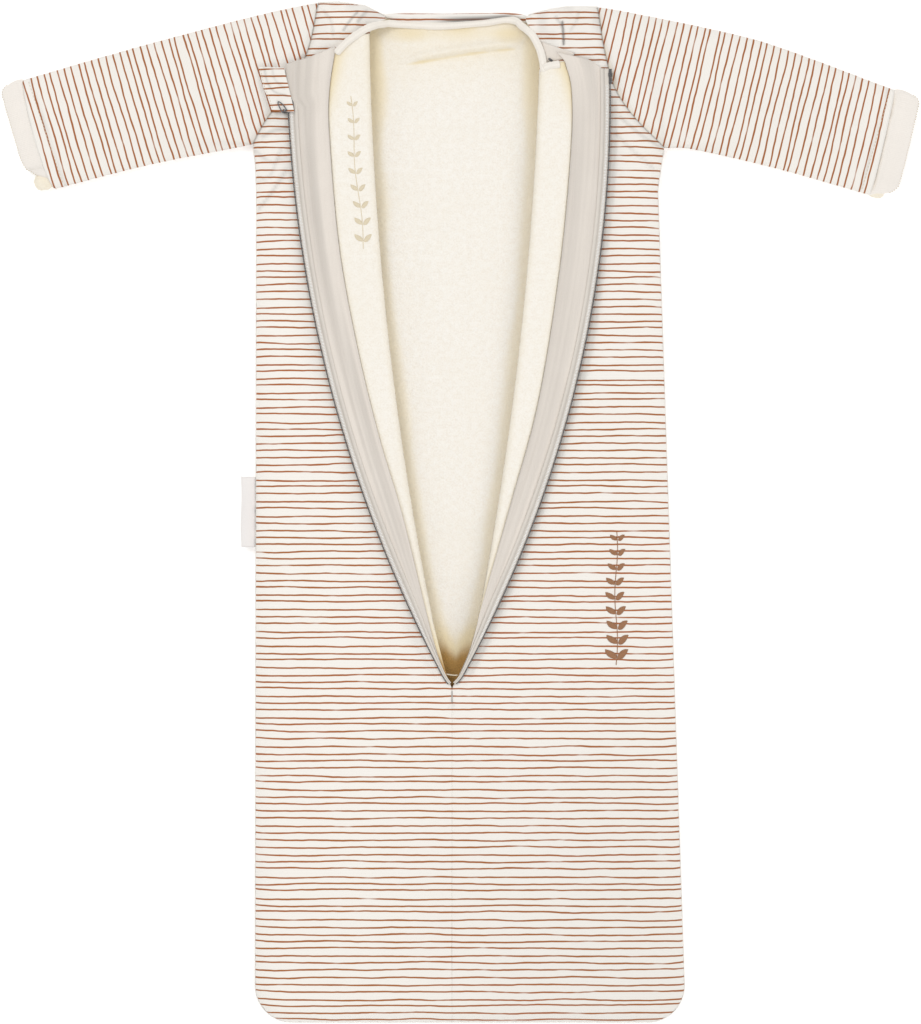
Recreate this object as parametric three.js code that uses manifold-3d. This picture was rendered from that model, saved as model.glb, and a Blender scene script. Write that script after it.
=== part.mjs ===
// Baby sleeping bag with long sleeves, lying on its back with both front flaps folded open.
// Millimetres, +Z up. The head points to +Y and the front faces +Z. The origin is the middle of
// the footprint, on the surface that the bag lies on. "Out" is the distance from the plane x = 0
// towards the side that a piece belongs to, so both sides share the same code.
import * as THREE from 'three';
import { mergeVertices } from 'three/addons/utils/BufferGeometryUtils.js';
import Module from 'manifold-3d';

const wasm = await Module();
wasm.setup();

// Fabric layers, from the outside in
const SHELL = 1.0;
const WADDING = 2.0;
const LINING = 1.4;
const GAP = 0.3;
const CAVITY = 11;
const WALL = SHELL + WADDING + LINING + 2 * GAP;
const FRONT_TOP = 2 * WALL + CAVITY;
const FLAP_BOTTOM = FRONT_TOP + GAP;

// Body outline
const FOOT_Y = -450;
const FOOT_RADIUS = 38;
const SIDE_TOP_Y = 284;
const NECK_Y = 438.5;
const SEAM = 2;
const INSET = SEAM + 0.4;
const TIP = { x: -7.5, y: -154 };
const FLAP_FOOT_Y = -104;
const PANEL_FOOT_Y = -92;

// How far a flap reaches past its fold axis, and how far each of its layers stays inside the shell
const FLAP = {
  overhang: 8,
  turnRoom: 1.2,
  waddingInset: 3,
  waddingMargin: 13,
  waddingTop: 9,
  waddingFoot: -47,
  plushFoot: -52,
  plushTop: 5,
  borderGap: 1.2,
};

// Zip
const TAPE_WIDTH = 6;
const TAPE_LAP = 4;
const TAPE = 0.9;
const CHAIN_WIDTH = 2.6;
const CHAIN_BOTTOM = FLAP_BOTTOM + 1.1;
const CHAIN_HEIGHT = 2.2;
const SLIDER = { width: 10, length: 13, plate: 0.8, y: 357.5 };
const PULLER = { length: 10.5, width: 5.2, wire: 1.0, turn: 32 };

// Sleeves and cuffs
const SLEEVE_HINGE = 186;
const CAP_HEIGHT = 20.5;
const SLEEVE_HEIGHT = 18;
const WRIST_HEIGHT = 13;
const CUFF_HEIGHT = 11;
const SEAM_ALLOWANCE = 1.5;
const TUBE_OVERCUT = 8;

// Neck binding, a rolled strip, and the band of shell fabric behind it
const BINDING = { back: 6, front: 5.5, backHeight: 3.4, frontHeight: 2.6, flapHeight: 2.4 };
const BAND = { gap: 0.4, width: 2.2, height: 6 };

const LEFT = {
  name: 'left',
  sign: -1,
  foot: 181,
  chest: 180,
  armpit: [183.5, 325],
  armhole: [[169, 349], [151, 371], [134, 409]],
  shoulder: [125.4, 449.5],
  shoulderLine: [[108, 450], [84, 446.6]],
  neck: 68,
  frontNeck: [[82, 429], [94, 423]],
  fold: { top: [80.2, 421], foot: [13.5, -146], sag: 14.6 },
  border: [[110, 408], [115.5, 330], [91, 145], [52, 0], [25, -104]],
  zip: { top: [152.6, 394], foot: [13.8, -148], sag: 33.7 },
  flapTop: [[94, 416], [107.5, 404.5], [111, 409], [131, 401]],
  foldShift: 3.1,
  chainTop: 366,
  sleeveTop: [[202, 432.5], [294, 408]],
  wristTop: [385.9, 381.5],
  wristFoot: [357.7, 285.6],
  sleeveFoot: [[276, 306.5], [202, 321]],
  cuffLength: 22,
};

const RIGHT = {
  name: 'right',
  sign: 1,
  foot: 197.5,
  chest: 174,
  armpit: [180, 321.6],
  armhole: [[154, 347], [136, 374], [126.5, 409]],
  shoulder: [121, 445.7],
  shoulderLine: [[93, 445.7], [77, 443]],
  neck: 60,
  frontNeck: [[70, 428], [79, 405], [89.5, 396]],
  fold: { top: [69, 384], foot: [4.7, -146], sag: 11.9 },
  border: [[88, 396], [98, 330], [79, 145], [43, 0], [13.5, -104]],
  zip: { top: [131.2, 390], foot: [0, -148], sag: 37.3 },
  flapTop: [[77, 394.5], [92, 396], [116, 395]],
  foldShift: -0.3,
  chainTop: 376,
  sleeveTop: [[244, 421], [291, 407]],
  wristTop: [383.2, 372.7],
  wristFoot: [361.2, 280.3],
  sleeveFoot: [[281, 303], [207, 320]],
  cuffLength: 24,
};

const FABRIC = { shell: 0xf1eee8, wadding: 0xfbfaf6, lining: 0xf3ecdd, facing: 0xd9cfc4, trim: 0xece4d6 };
const bag = new THREE.Group();

// ---------- plan outlines ----------

// Circle through two points [out, y] whose arc bulges outwards by sag between them.
function arcOf({ top, foot, sag }) {
  const dx = top[0] - foot[0];
  const dy = top[1] - foot[1];
  const chord = Math.hypot(dx, dy);
  const radius = (chord * chord) / (8 * sag) + sag / 2;
  const back = radius - sag;
  const out = (top[0] + foot[0]) / 2 - (back * dy) / chord;
  const y = (top[1] + foot[1]) / 2 + (back * dx) / chord;
  return { out, y, radius };
}

// The out value of a circle, grown by a distance, at a given height.
function outAt(circle, y, grow = 0) {
  const r = circle.radius + grow;
  return circle.out + Math.sqrt(r * r - (y - circle.y) ** 2);
}

function arcPoints(circle, yFrom, yTo, grow = 0, steps = 12) {
  return Array.from({ length: steps + 1 }, (_, i) => {
    const y = yFrom + ((yTo - yFrom) * i) / steps;
    return [outAt(circle, y, grow), y];
  });
}

function smooth(points, steps) {
  const curve = new THREE.SplineCurve(points.map(([x, y]) => new THREE.Vector2(x, y)));
  return curve.getPoints(steps).map((p) => [p.x, p.y]);
}

// Moves an open or closed outline sideways: positive to the left of its direction of travel.
function offset(points, distance, closed = false) {
  const last = points.length - 1;
  return points.map((p, i) => {
    const a = points[i > 0 ? i - 1 : closed ? last : 0];
    const b = points[i < last ? i + 1 : closed ? 0 : last];
    const before = new THREE.Vector2(p[0] - a[0], p[1] - a[1]).normalize();
    const after = new THREE.Vector2(b[0] - p[0], b[1] - p[1]).normalize();
    const along = before.clone().add(after).normalize();
    const stretch = 1 / Math.max(0.5, before.length() ? along.dot(before) : along.dot(after));
    return [p[0] - along.y * distance * stretch, p[1] + along.x * distance * stretch];
  });
}

function strip(path, near, far) {
  return [...offset(path, near), ...offset(path, far).reverse()];
}

function armhole(side) {
  return smooth([side.armpit, ...side.armhole, side.shoulder], 10);
}

function sidePath(side) {
  const straight = [[side.foot - 0.5, FOOT_Y + FOOT_RADIUS], [side.chest, SIDE_TOP_Y]];
  const arc = [];
  for (let i = 0; i < 6; i += 1) {
    const a = (i / 6) * (Math.PI / 2);
    arc.push([side.foot - FOOT_RADIUS * (1 - Math.sin(a)), FOOT_Y + FOOT_RADIUS * (1 - Math.cos(a))]);
  }
  return [...arc, ...straight, [side.armpit[0] - 4, side.armpit[1] - 16], side.armpit];
}

// One half of the body, from the foot up its side and over the shoulder to the neck.
function halfOutline(side) {
  return [...sidePath(side), ...armhole(side).slice(1), ...side.shoulderLine, [side.neck, NECK_Y]];
}

function mirrored(side, points) {
  return points.map(([x, y]) => [side.sign * x, y]);
}

// ---------- solids ----------

function plate(points, z, thickness) {
  const shape = new THREE.Shape(points.map(([x, y]) => new THREE.Vector2(x, y)));
  const geometry = new THREE.ExtrudeGeometry(shape, { depth: thickness, bevelEnabled: false });
  return geometry.translate(0, 0, z);
}

function toSolid(geometry) {
  const bare = geometry.clone();
  bare.deleteAttribute('normal');
  bare.deleteAttribute('uv');
  const merged = mergeVertices(bare, 1e-4);
  const vertProperties = new Float32Array(merged.attributes.position.array);
  const triVerts = new Uint32Array(merged.index.array);
  return new wasm.Manifold(new wasm.Mesh({ numProp: 3, vertProperties, triVerts }));
}

function toGeometry(solid) {
  const mesh = solid.getMesh();
  const geometry = new THREE.BufferGeometry();
  geometry.setAttribute('position', new THREE.BufferAttribute(mesh.vertProperties, 3));
  geometry.setIndex(new THREE.BufferAttribute(mesh.triVerts, 1));
  return geometry;
}

function joined(...geometries) {
  return toGeometry(geometries.map(toSolid).reduce((a, b) => a.add(b)));
}

function cut(geometry, ...tools) {
  return toGeometry(tools.map(toSolid).reduce((a, b) => a.subtract(b), toSolid(geometry)));
}

function box(width, length, height, x, y, z) {
  return new THREE.BoxGeometry(width, length, height).translate(x, y, z + height / 2);
}

function add(name, geometry, color, roughness = 0.9, metalness = 0) {
  const mesh = new THREE.Mesh(geometry, new THREE.MeshStandardMaterial({ color, roughness, metalness }));
  mesh.name = name;
  bag.add(mesh);
  return mesh;
}

// ---------- body ----------

function addBack() {
  const outline = [...mirrored(RIGHT, halfOutline(RIGHT)), ...mirrored(LEFT, halfOutline(LEFT)).reverse()];
  const inner = offset(outline, INSET, true);
  add('back_shell', plate(outline, 0, SHELL), FABRIC.shell);
  add('back_wadding', plate(inner, SHELL + GAP, WADDING), FABRIC.wadding);
  add('back_lining', plate(inner, WALL - LINING, LINING), FABRIC.lining);
}

// The flap's inner edge: the fold line, kept within FLAP.overhang of the fold axis.
function flapEdge(side) {
  const fold = arcOf(side.fold);
  const axis = foldLine(side);
  return (y) => Math.max(outAt(fold, y), axis.outAt(y) - FLAP.overhang);
}

// The inner edge of a front panel, from the tip up. Beside the flap it is the flap's inner edge
// turned over the fold axis, so that the overhang has room when the flap swings shut.
function frontEdge(side) {
  const fold = arcOf(side.fold);
  const axis = foldLine(side);
  const edge = flapEdge(side);
  const footY = FLAP_FOOT_Y - 2;
  const steps = 10;
  const points = [];
  for (let i = 0; i <= steps; i += 1) {
    const y = footY + ((side.fold.top[1] - footY) * i) / steps;
    points.push([2 * axis.outAt(y) - edge(y) + FLAP.turnRoom, y]);
  }
  return [onEdge((y) => outAt(fold, y), TIP.y + 12), onEdge((y) => outAt(fold, y), footY), ...points];
}

function frontOutline(side) {
  const centre = side.sign * TIP.x + GAP / 2;
  const half = halfOutline(side);
  const tip = [[centre, TIP.y - 3]];
  return [[centre, FOOT_Y], ...half, ...side.frontNeck, ...frontEdge(side).reverse(), ...tip];
}

function addFront(side) {
  const outline = mirrored(side, frontOutline(side));
  const inner = offset(outline, INSET * side.sign, true);
  const bottom = FRONT_TOP - WALL;
  add(`front_shell_${side.name}`, plate(outline, FRONT_TOP - SHELL, SHELL), FABRIC.shell);
  add(`front_wadding_${side.name}`, plate(inner, bottom + LINING + GAP, WADDING), FABRIC.wadding);
  add(`front_lining_${side.name}`, plate(inner, bottom, LINING), FABRIC.lining);
}

function addSeams() {
  const low = SHELL + GAP;
  const height = FRONT_TOP - 2 * low;
  for (const side of [LEFT, RIGHT]) {
    const sideSeam = mirrored(side, strip(sidePath(side), 0, SEAM));
    add(`side_seam_${side.name}`, plate(sideSeam, low, height), FABRIC.shell);
    const over = [side.shoulder, ...side.shoulderLine, [side.neck + 1, NECK_Y + 0.5]];
    const shoulderSeam = mirrored(side, strip(over, 0, SEAM));
    add(`shoulder_seam_${side.name}`, plate(shoulderSeam, low, height), FABRIC.shell);
  }
  const edge = [[FOOT_RADIUS + GAP - LEFT.foot, FOOT_Y], [RIGHT.foot - FOOT_RADIUS - GAP, FOOT_Y]];
  add('bottom_seam', plate(strip(edge, 0, SEAM), low, height), FABRIC.shell);
}

function addNeck() {
  const back = [[-66, 436], [-50, 433], [-18, 431.5], [19, 433.5], [38, 435.5], [50, 434.5], [57, 431]];
  const curve = smooth(back, 14);
  add('neck_band', plate(strip(curve, BAND.gap, BAND.width), WALL + GAP, BAND.height), FABRIC.shell);
  const backRoll = plate(strip(curve, -BINDING.back, 0), WALL + GAP, BINDING.backHeight);
  add('neck_binding_back', backRoll, FABRIC.trim);

  const rightFront = smooth([[59, 429], [65, 424], [71, 416], [73.5, 410]], 8);
  const leftFront = smooth([[-87, 422], [-80, 427.5], [-71, 433]], 6);
  for (const [name, path] of [['right', rightFront], ['left', leftFront]]) {
    const outline = strip(path, -BINDING.front, 0);
    add(`neck_binding_${name}`, plate(outline, FRONT_TOP + GAP, BINDING.frontHeight), FABRIC.trim);
  }
}

function addTrim() {
  add('side_label', plate([[-193, 31], [-193, -31], [-181.4, -31], [-181.4, 31]], 9, 0.8), 0xf0ece8);
  add('zip_bartack', box(2.4, 9, 1.2, TIP.x, TIP.y - 9, FRONT_TOP + GAP), 0xb9b2a8);
}

// ---------- front flaps ----------

// The fold axis, in plan: parallel to the chord of the fold and outside its bulge.
function foldLine(side) {
  const { top, foot, sag } = side.fold;
  const lean = (top[0] - foot[0]) / (top[1] - foot[1]);
  const shift = (sag + side.foldShift) * Math.hypot(1, lean);
  return { lean, outAt: (y) => foot[0] + shift + lean * (y - foot[1]) };
}

// A plan between two edges, each given as out = f(y), closed by the points of its top edge.
function between(inner, outer, footY, topPoints, steps = 10) {
  const rise = (y, i) => footY + ((y - footY) * i) / steps;
  const innerTop = topPoints[0][1];
  const outerTop = topPoints.at(-1)[1];
  const count = [...Array(steps).keys()];
  const up = count.map((i) => [inner(rise(innerTop, i)), rise(innerTop, i)]);
  const down = count.map((i) => [outer(rise(outerTop, i)), rise(outerTop, i)]).reverse();
  return [...up, ...topPoints, ...down];
}

function onEdge(edge, y) {
  return [edge(y), y];
}

function addFlap(side) {
  const zipCircle = arcOf(side.zip);
  const borderLine = smooth(side.border, 24).reverse().map(([x, y]) => [y, x]);
  const fold = (grow) => (y) => flapEdge(side)(y) + grow;
  const zip = (grow) => (y) => outAt(zipCircle, y, grow);
  const border = (grow) => (y) => edgeY(borderLine, y) + grow;
  const plan = (...shape) => mirrored(side, between(...shape));
  const top = side.flapTop;
  const foldTop = onEdge(fold(0), side.fold.top[1]);
  const corner = onEdge(zip(-TAPE_WIDTH), side.zip.top[1]);
  const borderTop = side.border[0][1] - FLAP.plushTop;
  const name = side.name;
  const topZ = FLAP_BOTTOM + WALL - LINING;

  const shell = plan(fold(0), zip(-TAPE_WIDTH), PANEL_FOOT_Y, [foldTop, ...top, corner]);
  add(`flap_shell_${name}`, plate(shell, FLAP_BOTTOM, SHELL), FABRIC.shell);

  const waddingIn = fold(FLAP.waddingInset);
  const waddingOut = zip(-FLAP.waddingMargin);
  const insideTop = [
    onEdge(waddingIn, foldTop[1] - FLAP.waddingTop),
    onEdge(waddingOut, corner[1] - FLAP.waddingTop),
  ];
  const inside = plan(waddingIn, waddingOut, FLAP.waddingFoot, insideTop);
  add(`flap_wadding_${name}`, plate(inside, FLAP_BOTTOM + SHELL + GAP, WADDING), FABRIC.wadding);

  const plushTop = [foldTop, top[0], onEdge(border(-FLAP.borderGap), borderTop)];
  const plush = plan(fold(0), border(-FLAP.borderGap), FLAP.plushFoot, plushTop);
  add(`flap_lining_${name}`, plate(plush, topZ, LINING), FABRIC.lining);

  const facingTop = [onEdge(border(0), borderTop), top.at(-1), corner];
  const facing = plan(border(0), zip(-TAPE_WIDTH), PANEL_FOOT_Y, facingTop);
  add(`flap_facing_${name}`, plate(facing, topZ, LINING), FABRIC.facing);

  const inTape = zip(-TAPE_WIDTH - TAPE_LAP);
  const outTape = zip(-CHAIN_WIDTH / 2 - 0.1);
  const tapeEnds = [onEdge(inTape, side.chainTop), onEdge(outTape, side.chainTop)];
  const tape = plan(inTape, outTape, FLAP_FOOT_Y, tapeEnds, 14);
  add(`zip_tape_${name}`, plate(tape, CHAIN_BOTTOM + (CHAIN_HEIGHT - TAPE) / 2, TAPE), 0xcdcbc8);

  const inChain = zip(-CHAIN_WIDTH / 2);
  const outChain = zip(CHAIN_WIDTH / 2);
  const chainEnds = [onEdge(inChain, side.chainTop), onEdge(outChain, side.chainTop)];
  const chain = plan(inChain, outChain, FLAP_FOOT_Y, chainEnds, 28);
  add(`zip_chain_${name}`, plate(chain, CHAIN_BOTTOM, CHAIN_HEIGHT), 0x5c5c60, 0.5);

  const stubTop = FLAP_FOOT_Y - 1;
  const stubEnds = [onEdge(inChain, stubTop), onEdge(outChain, stubTop)];
  const stub = plan(inChain, outChain, TIP.y + 4, stubEnds, 4);
  add(`zip_chain_foot_${name}`, plate(stub, FRONT_TOP + GAP, CHAIN_HEIGHT), 0x5c5c60, 0.5);
}

function addZipEnds() {
  const left = arcOf(LEFT.zip);
  const right = arcOf(RIGHT.zip);
  const boxY = LEFT.chainTop + 6.5;
  add('zip_box', box(5, 12, 3, -outAt(left, boxY), boxY, CHAIN_BOTTOM - 0.4), 0x66666a, 0.35, 0.9);
  const pinY = RIGHT.chainTop + 7;
  const post = box(2.6, 13, 2.2, outAt(right, pinY) + 0.4, pinY, CHAIN_BOTTOM);
  const collar = box(3.6, 3, 3, outAt(right, pinY) + 0.4, pinY + 1.5, CHAIN_BOTTOM - 0.4);
  add('zip_pin', joined(post, collar), 0x66666a, 0.35, 0.9);

  const z = FLAP_BOTTOM + WALL - 0.3;
  const flap = plate([[-178, 391.5], [-166.5, 355.5], [-150.5, 355.5], [-155, 391.5]], z, 0.8);
  const root = box(20, 4, 3.2, -165.5, 389, z - 2.8);
  add('zip_garage', joined(flap, root), FABRIC.shell);
}

function addFlapBinding() {
  const left = strip([[-91.5, 419.5], [-102, 412], [-107.5, 405.5]], 0, BINDING.front);
  const right = strip([[71.5, 389], [78, 396.5], [90.5, 398]], -BINDING.front, 0);
  for (const [name, outline] of [['left', left], ['right', right]]) {
    const z = FLAP_BOTTOM + WALL + GAP;
    add(`flap_binding_${name}`, plate(outline, z, BINDING.flapHeight), FABRIC.trim);
  }
}

// ---------- zip slider and puller ----------

function addSlider() {
  const zip = arcOf(LEFT.zip);
  const angle = Math.asin((SLIDER.y - zip.y) / zip.radius);
  const x = -outAt(zip, SLIDER.y);
  const lower = CHAIN_BOTTOM - GAP - SLIDER.plate;
  const upper = CHAIN_BOTTOM + CHAIN_HEIGHT + GAP;
  const tall = upper + SLIDER.plate - lower;
  const holeZ = FLAP_BOTTOM + WALL + 1.3;
  const body = joined(
    box(SLIDER.width, SLIDER.length, SLIDER.plate, 0, 0, lower),
    box(SLIDER.width, SLIDER.length, SLIDER.plate, 0, 0, upper),
    box(2.4, 7, tall, -3.4, 1, lower),
  );
  const crown = new THREE.CylinderGeometry(2.1, 2.1, 1, 12).rotateZ(Math.PI / 2);
  const eye = new THREE.CylinderGeometry(1.05, 1.05, 3, 12).rotateZ(Math.PI / 2);
  const stalk = box(1, 3.2, holeZ - upper, 0, 0, upper);
  const loop = cut(joined(crown.translate(0, 0, holeZ), stalk), eye.translate(0, 0, holeZ));
  const turn = THREE.MathUtils.degToRad(PULLER.turn);
  loop.rotateZ(turn).translate(-3, -SLIDER.length / 2 + 1.2, 0);
  const slider = joined(body, loop).rotateZ(-angle).translate(x, SLIDER.y, 0);
  add('zip_slider', slider, 0x77777b, 0.3, 0.9);

  const half = PULLER.width / 2;
  const wire = PULLER.wire;
  const bar = 0.5;
  const outer = new THREE.Shape();
  outer.moveTo(-half, -bar).lineTo(half, -bar).lineTo(half, 3);
  outer.quadraticCurveTo(1.8, PULLER.length, 0, PULLER.length);
  outer.quadraticCurveTo(-1.8, PULLER.length, -half, 3);
  const hole = new THREE.Path();
  hole.moveTo(half - wire, bar).lineTo(half - wire, 3);
  hole.quadraticCurveTo(1.1, PULLER.length - wire, 0, PULLER.length - wire - 0.2);
  hole.quadraticCurveTo(-1.1, PULLER.length - wire, wire - half, 3).lineTo(wire - half, bar);
  outer.holes.push(hole);
  const puller = new THREE.ExtrudeGeometry(outer, { depth: wire, bevelEnabled: false, curveSegments: 5 });
  puller.translate(0, 0, holeZ - wire / 2).rotateZ(turn).translate(-3, -SLIDER.length / 2 + 1.2, 0);
  puller.rotateZ(-angle).translate(x, SLIDER.y, 0);
  add('zip_puller', puller, 0x6c6c70, 0.3, 0.9);
}

// ---------- sleeves ----------

function topEdge(side) {
  return smooth([side.shoulder, [158, side.shoulder[1] - 6.5], ...side.sleeveTop, side.wristTop], 16);
}

function lerpHeight(side, out) {
  const reach = (side.wristTop[0] + side.wristFoot[0]) / 2 - SLEEVE_HINGE;
  const t = (out - SLEEVE_HINGE) / reach;
  return SLEEVE_HEIGHT + (WRIST_HEIGHT - SLEEVE_HEIGHT) * t;
}

// Gives a flat tube of unit height its real height at each point.
function raise(geometry, heightAt) {
  const p = geometry.attributes.position;
  for (let i = 0; i < p.count; i += 1) {
    p.setZ(i, p.getZ(i) * heightAt(Math.abs(p.getX(i))));
  }
  return geometry;
}

// A flattened tube: an outer plate with a slot cut through both of its open ends.
function tube(outer, slot, heightAt, low, wall) {
  const solid = plate(outer, low, 1 - 2 * low);
  const hollow = plate(slot, low + wall, 1 - 2 * (low + wall));
  return raise(cut(solid, hollow), heightAt);
}

// Plan of a tube between two edges that run the same way, shrunk by inset at its closed edges
// and grown by reach at its open ends.
function tubePlan(upper, lower, inset, reach) {
  const a = offset(upper, inset);
  const b = offset(lower, -inset);
  const grow = (from, to) => {
    const length = Math.hypot(to[0] - from[0], to[1] - from[1]);
    return [to[0] + ((to[0] - from[0]) * reach) / length, to[1] + ((to[1] - from[1]) * reach) / length];
  };
  const ends = (edge) => [grow(edge[1], edge[0]), ...edge.slice(1, -1), grow(edge.at(-2), edge.at(-1))];
  return [...ends(a), ...ends(b).reverse()];
}

function addSleeve(side) {
  const top = topEdge(side);
  const capTop = [...top.filter(([x]) => x < SLEEVE_HINGE - 6), [SLEEVE_HINGE, edgeY(top, SLEEVE_HINGE)]];
  const footY = side.armpit[1] - 0.6;
  const hole = armhole(side);
  const capSlope = (out) => CAP_HEIGHT + ((SLEEVE_HEIGHT - CAP_HEIGHT) * (out - 125)) / (SLEEVE_HINGE - 125);
  const capPlan = (inset, reach) => {
    const seam = offset(hole, -0.8 + reach).reverse();
    const upper = offset(capTop, -inset);
    const inner = seam.slice(0, -1).map(([x, y]) => [x, Math.min(y, edgeY(upper, x))]);
    const head = upper.filter(([x]) => x > inner[0][0] + 0.5);
    const end = [[SLEEVE_HINGE + reach, upper.at(-1)[1]], [SLEEVE_HINGE + reach, footY + inset]];
    const armpit = [side.armpit[0] + 1.2 - reach, footY + inset];
    return [...head.slice(0, reach ? undefined : -1), ...end, armpit, ...inner.reverse()];
  };
  const shellWall = SHELL / CAP_HEIGHT;
  const step = (SHELL + GAP) / CAP_HEIGHT;
  const capSlot = mirrored(side, capPlan(SEAM_ALLOWANCE, TUBE_OVERCUT));
  const cap = tube(mirrored(side, capPlan(0, 0)), capSlot, capSlope, 0, shellWall);
  add(`sleeve_cap_${side.name}`, cap, FABRIC.shell);

  const start = SLEEVE_HINGE + GAP;
  const upper = [[start, edgeY(top, start)], ...top.filter(([x]) => x > start + 6)];
  const foot = smooth([[start, footY], ...[...side.sleeveFoot].reverse(), side.wristFoot], 10);
  const lower = [foot[0], ...foot.filter(([x]) => x > start + 6)];
  const plan = (inset, reach) => mirrored(side, tubePlan(upper, lower, -inset, reach));
  const height = (out) => lerpHeight(side, out);
  const shell = tube(plan(0, 0), plan(SEAM_ALLOWANCE, TUBE_OVERCUT), height, 0, shellWall);
  add(`sleeve_shell_${side.name}`, shell, FABRIC.shell);
  const liningSlot = plan(2 + LINING, TUBE_OVERCUT);
  const lining = tube(plan(2, -3), liningSlot, height, step, LINING / CAP_HEIGHT);
  add(`sleeve_lining_${side.name}`, lining, FABRIC.lining);
}

function edgeY(edge, x) {
  const i = Math.max(1, edge.findIndex(([ex]) => ex >= x));
  const [a, b] = [edge[i - 1], edge[i]];
  return a[1] + ((b[1] - a[1]) * (x - a[0])) / (b[0] - a[0]);
}

function addCuff(side) {
  const [top, foot] = [side.wristTop, side.wristFoot];
  const along = new THREE.Vector2(top[0] - foot[0], top[1] - foot[1]).normalize();
  const out = new THREE.Vector2(along.y, -along.x);
  const at = (base, reach, slide) => [
    base[0] + out.x * reach + along.x * slide,
    base[1] + out.y * reach + along.y * slide,
  ];
  const corner = [[-6, 0], [-1.5, 2], [0, 7]];
  const cuffPlan = (inset, start, reach) => {
    const lower = [[start, 0], ...corner.map(([x, y]) => [reach + x, y])];
    const upper = [...lower].reverse();
    return mirrored(side, [
      ...lower.map(([x, y]) => at(foot, x, inset + y)),
      ...upper.map(([x, y]) => at(top, x, -inset - y)),
    ]);
  };
  const low = (WRIST_HEIGHT - CUFF_HEIGHT) / 2;
  const slotEnd = side.cuffLength + 4;
  const slot = (inset) => mirrored(side, [
    at(foot, -3, inset),
    at(foot, slotEnd, inset),
    at(top, slotEnd, -inset),
    at(top, -3, -inset),
  ]);
  const shell = cut(
    plate(cuffPlan(0.5, 0.4, side.cuffLength), low, CUFF_HEIGHT),
    plate(slot(2), low + SHELL, CUFF_HEIGHT - 2 * SHELL),
  );
  add(`cuff_${side.name}`, shell, FABRIC.trim);
  const skin = SHELL + GAP;
  const lining = cut(
    plate(cuffPlan(2.4, 1.4, side.cuffLength - 2), low + skin, CUFF_HEIGHT - 2 * skin),
    plate(slot(3.8), low + skin + LINING, CUFF_HEIGHT - 2 * (skin + LINING)),
  );
  add(`cuff_lining_${side.name}`, lining, FABRIC.lining);
}

addBack();
addSeams();
addNeck();
addTrim();
addZipEnds();
addFlapBinding();
addSlider();
for (const side of [LEFT, RIGHT]) {
  addFront(side);
  addFlap(side);
  addSleeve(side);
  addCuff(side);
}

export default bag;
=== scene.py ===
"""Looks of the baby sleeping bag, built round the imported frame. out is the distance from the plane x = 0."""

import math
from types import SimpleNamespace

import bpy
import numpy as np
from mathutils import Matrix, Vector
from mathutils.bvhtree import BVHTree
from mathutils.kdtree import KDTree


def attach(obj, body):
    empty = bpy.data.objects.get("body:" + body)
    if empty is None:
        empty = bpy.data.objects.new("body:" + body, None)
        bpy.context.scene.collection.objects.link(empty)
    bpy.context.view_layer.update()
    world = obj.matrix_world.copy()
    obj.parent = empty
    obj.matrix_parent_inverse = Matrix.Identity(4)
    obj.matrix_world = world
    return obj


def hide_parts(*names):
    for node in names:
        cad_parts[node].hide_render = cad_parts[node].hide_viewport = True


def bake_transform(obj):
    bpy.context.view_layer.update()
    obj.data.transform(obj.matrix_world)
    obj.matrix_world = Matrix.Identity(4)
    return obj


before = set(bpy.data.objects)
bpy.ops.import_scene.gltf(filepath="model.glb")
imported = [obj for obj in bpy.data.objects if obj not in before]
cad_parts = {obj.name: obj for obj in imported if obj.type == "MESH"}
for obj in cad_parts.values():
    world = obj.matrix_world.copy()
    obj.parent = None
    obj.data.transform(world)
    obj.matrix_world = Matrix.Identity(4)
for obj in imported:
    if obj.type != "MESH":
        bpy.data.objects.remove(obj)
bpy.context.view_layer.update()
MM = 0.001
UP = np.array([0.0, 0.0, 1.0])

# ---- dimensions, in millimetres

FRONT_TOP = 21.0
FLAP_LOW = 21.5
FLAP_TOP = 26.3
SEAM_Z = 8.5
FOOT_Y = -450.0
FOOT_RADIUS = 32.0
TIP = (-7.5, -154.0)
FLAP_FOOT_Y, FLAP_ROWS = -152.5, 380
STRIPE = 6.35
RUNG_PITCH, TOOTH_PITCH = 1.3, 1.55

# Each side as seen from above: points are (out, y). An arc is its top, its foot and its sag. The border is
# the line between plush and facing. cuff_peep is the place and size of the lining at the cuff's corner.
LEFT = SimpleNamespace(
    name="left", sign=-1, foot=181, chest=180, armpit=(183.5, 325),
    armhole=[(169, 349), (151, 371), (134, 409)], shoulder=(125.4, 449.5),
    shoulder_line=[(108, 450), (84, 446.6)], neck=(68, 438.5),
    front_neck=[(65.5, 434.8), (71, 432), (76.5, 427.5)],
    fold_arc=((80.2, 421), (13.5, -146), 14.6),
    fold_tip=[(9, -152), (11.5, -146), (14.6, -135), (18.2, -121)],
    zip_arc=((152.6, 394), (13.8, -148), 33.7), zip_tip=[(10.4, -152)], chain_top=366,
    border=[(110, 408), (115.5, 370), (115.5, 330), (107, 233), (91, 145), (72, 67), (52, 0),
            (33, -77), (22, -120), (14, -142), (9.6, -152)],
    plush_top=[(80.2, 421), (94, 416), (110, 404)], facing_top=[(110, 409.5), (131, 401), (152, 394)],
    sleeve_top=[(202, 432.5), (294, 408)], sleeve_foot=[(276, 306.5), (202, 321)],
    wrist_top=(385.9, 381.5), wrist_foot=(357.7, 285.6), hem_reach=5.5,
    cuff=22, cuff_taper=6.5, cuff_lift=11.0, cuff_peep=(8.0, 9.0, 8.6, 7.6),
)
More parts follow.
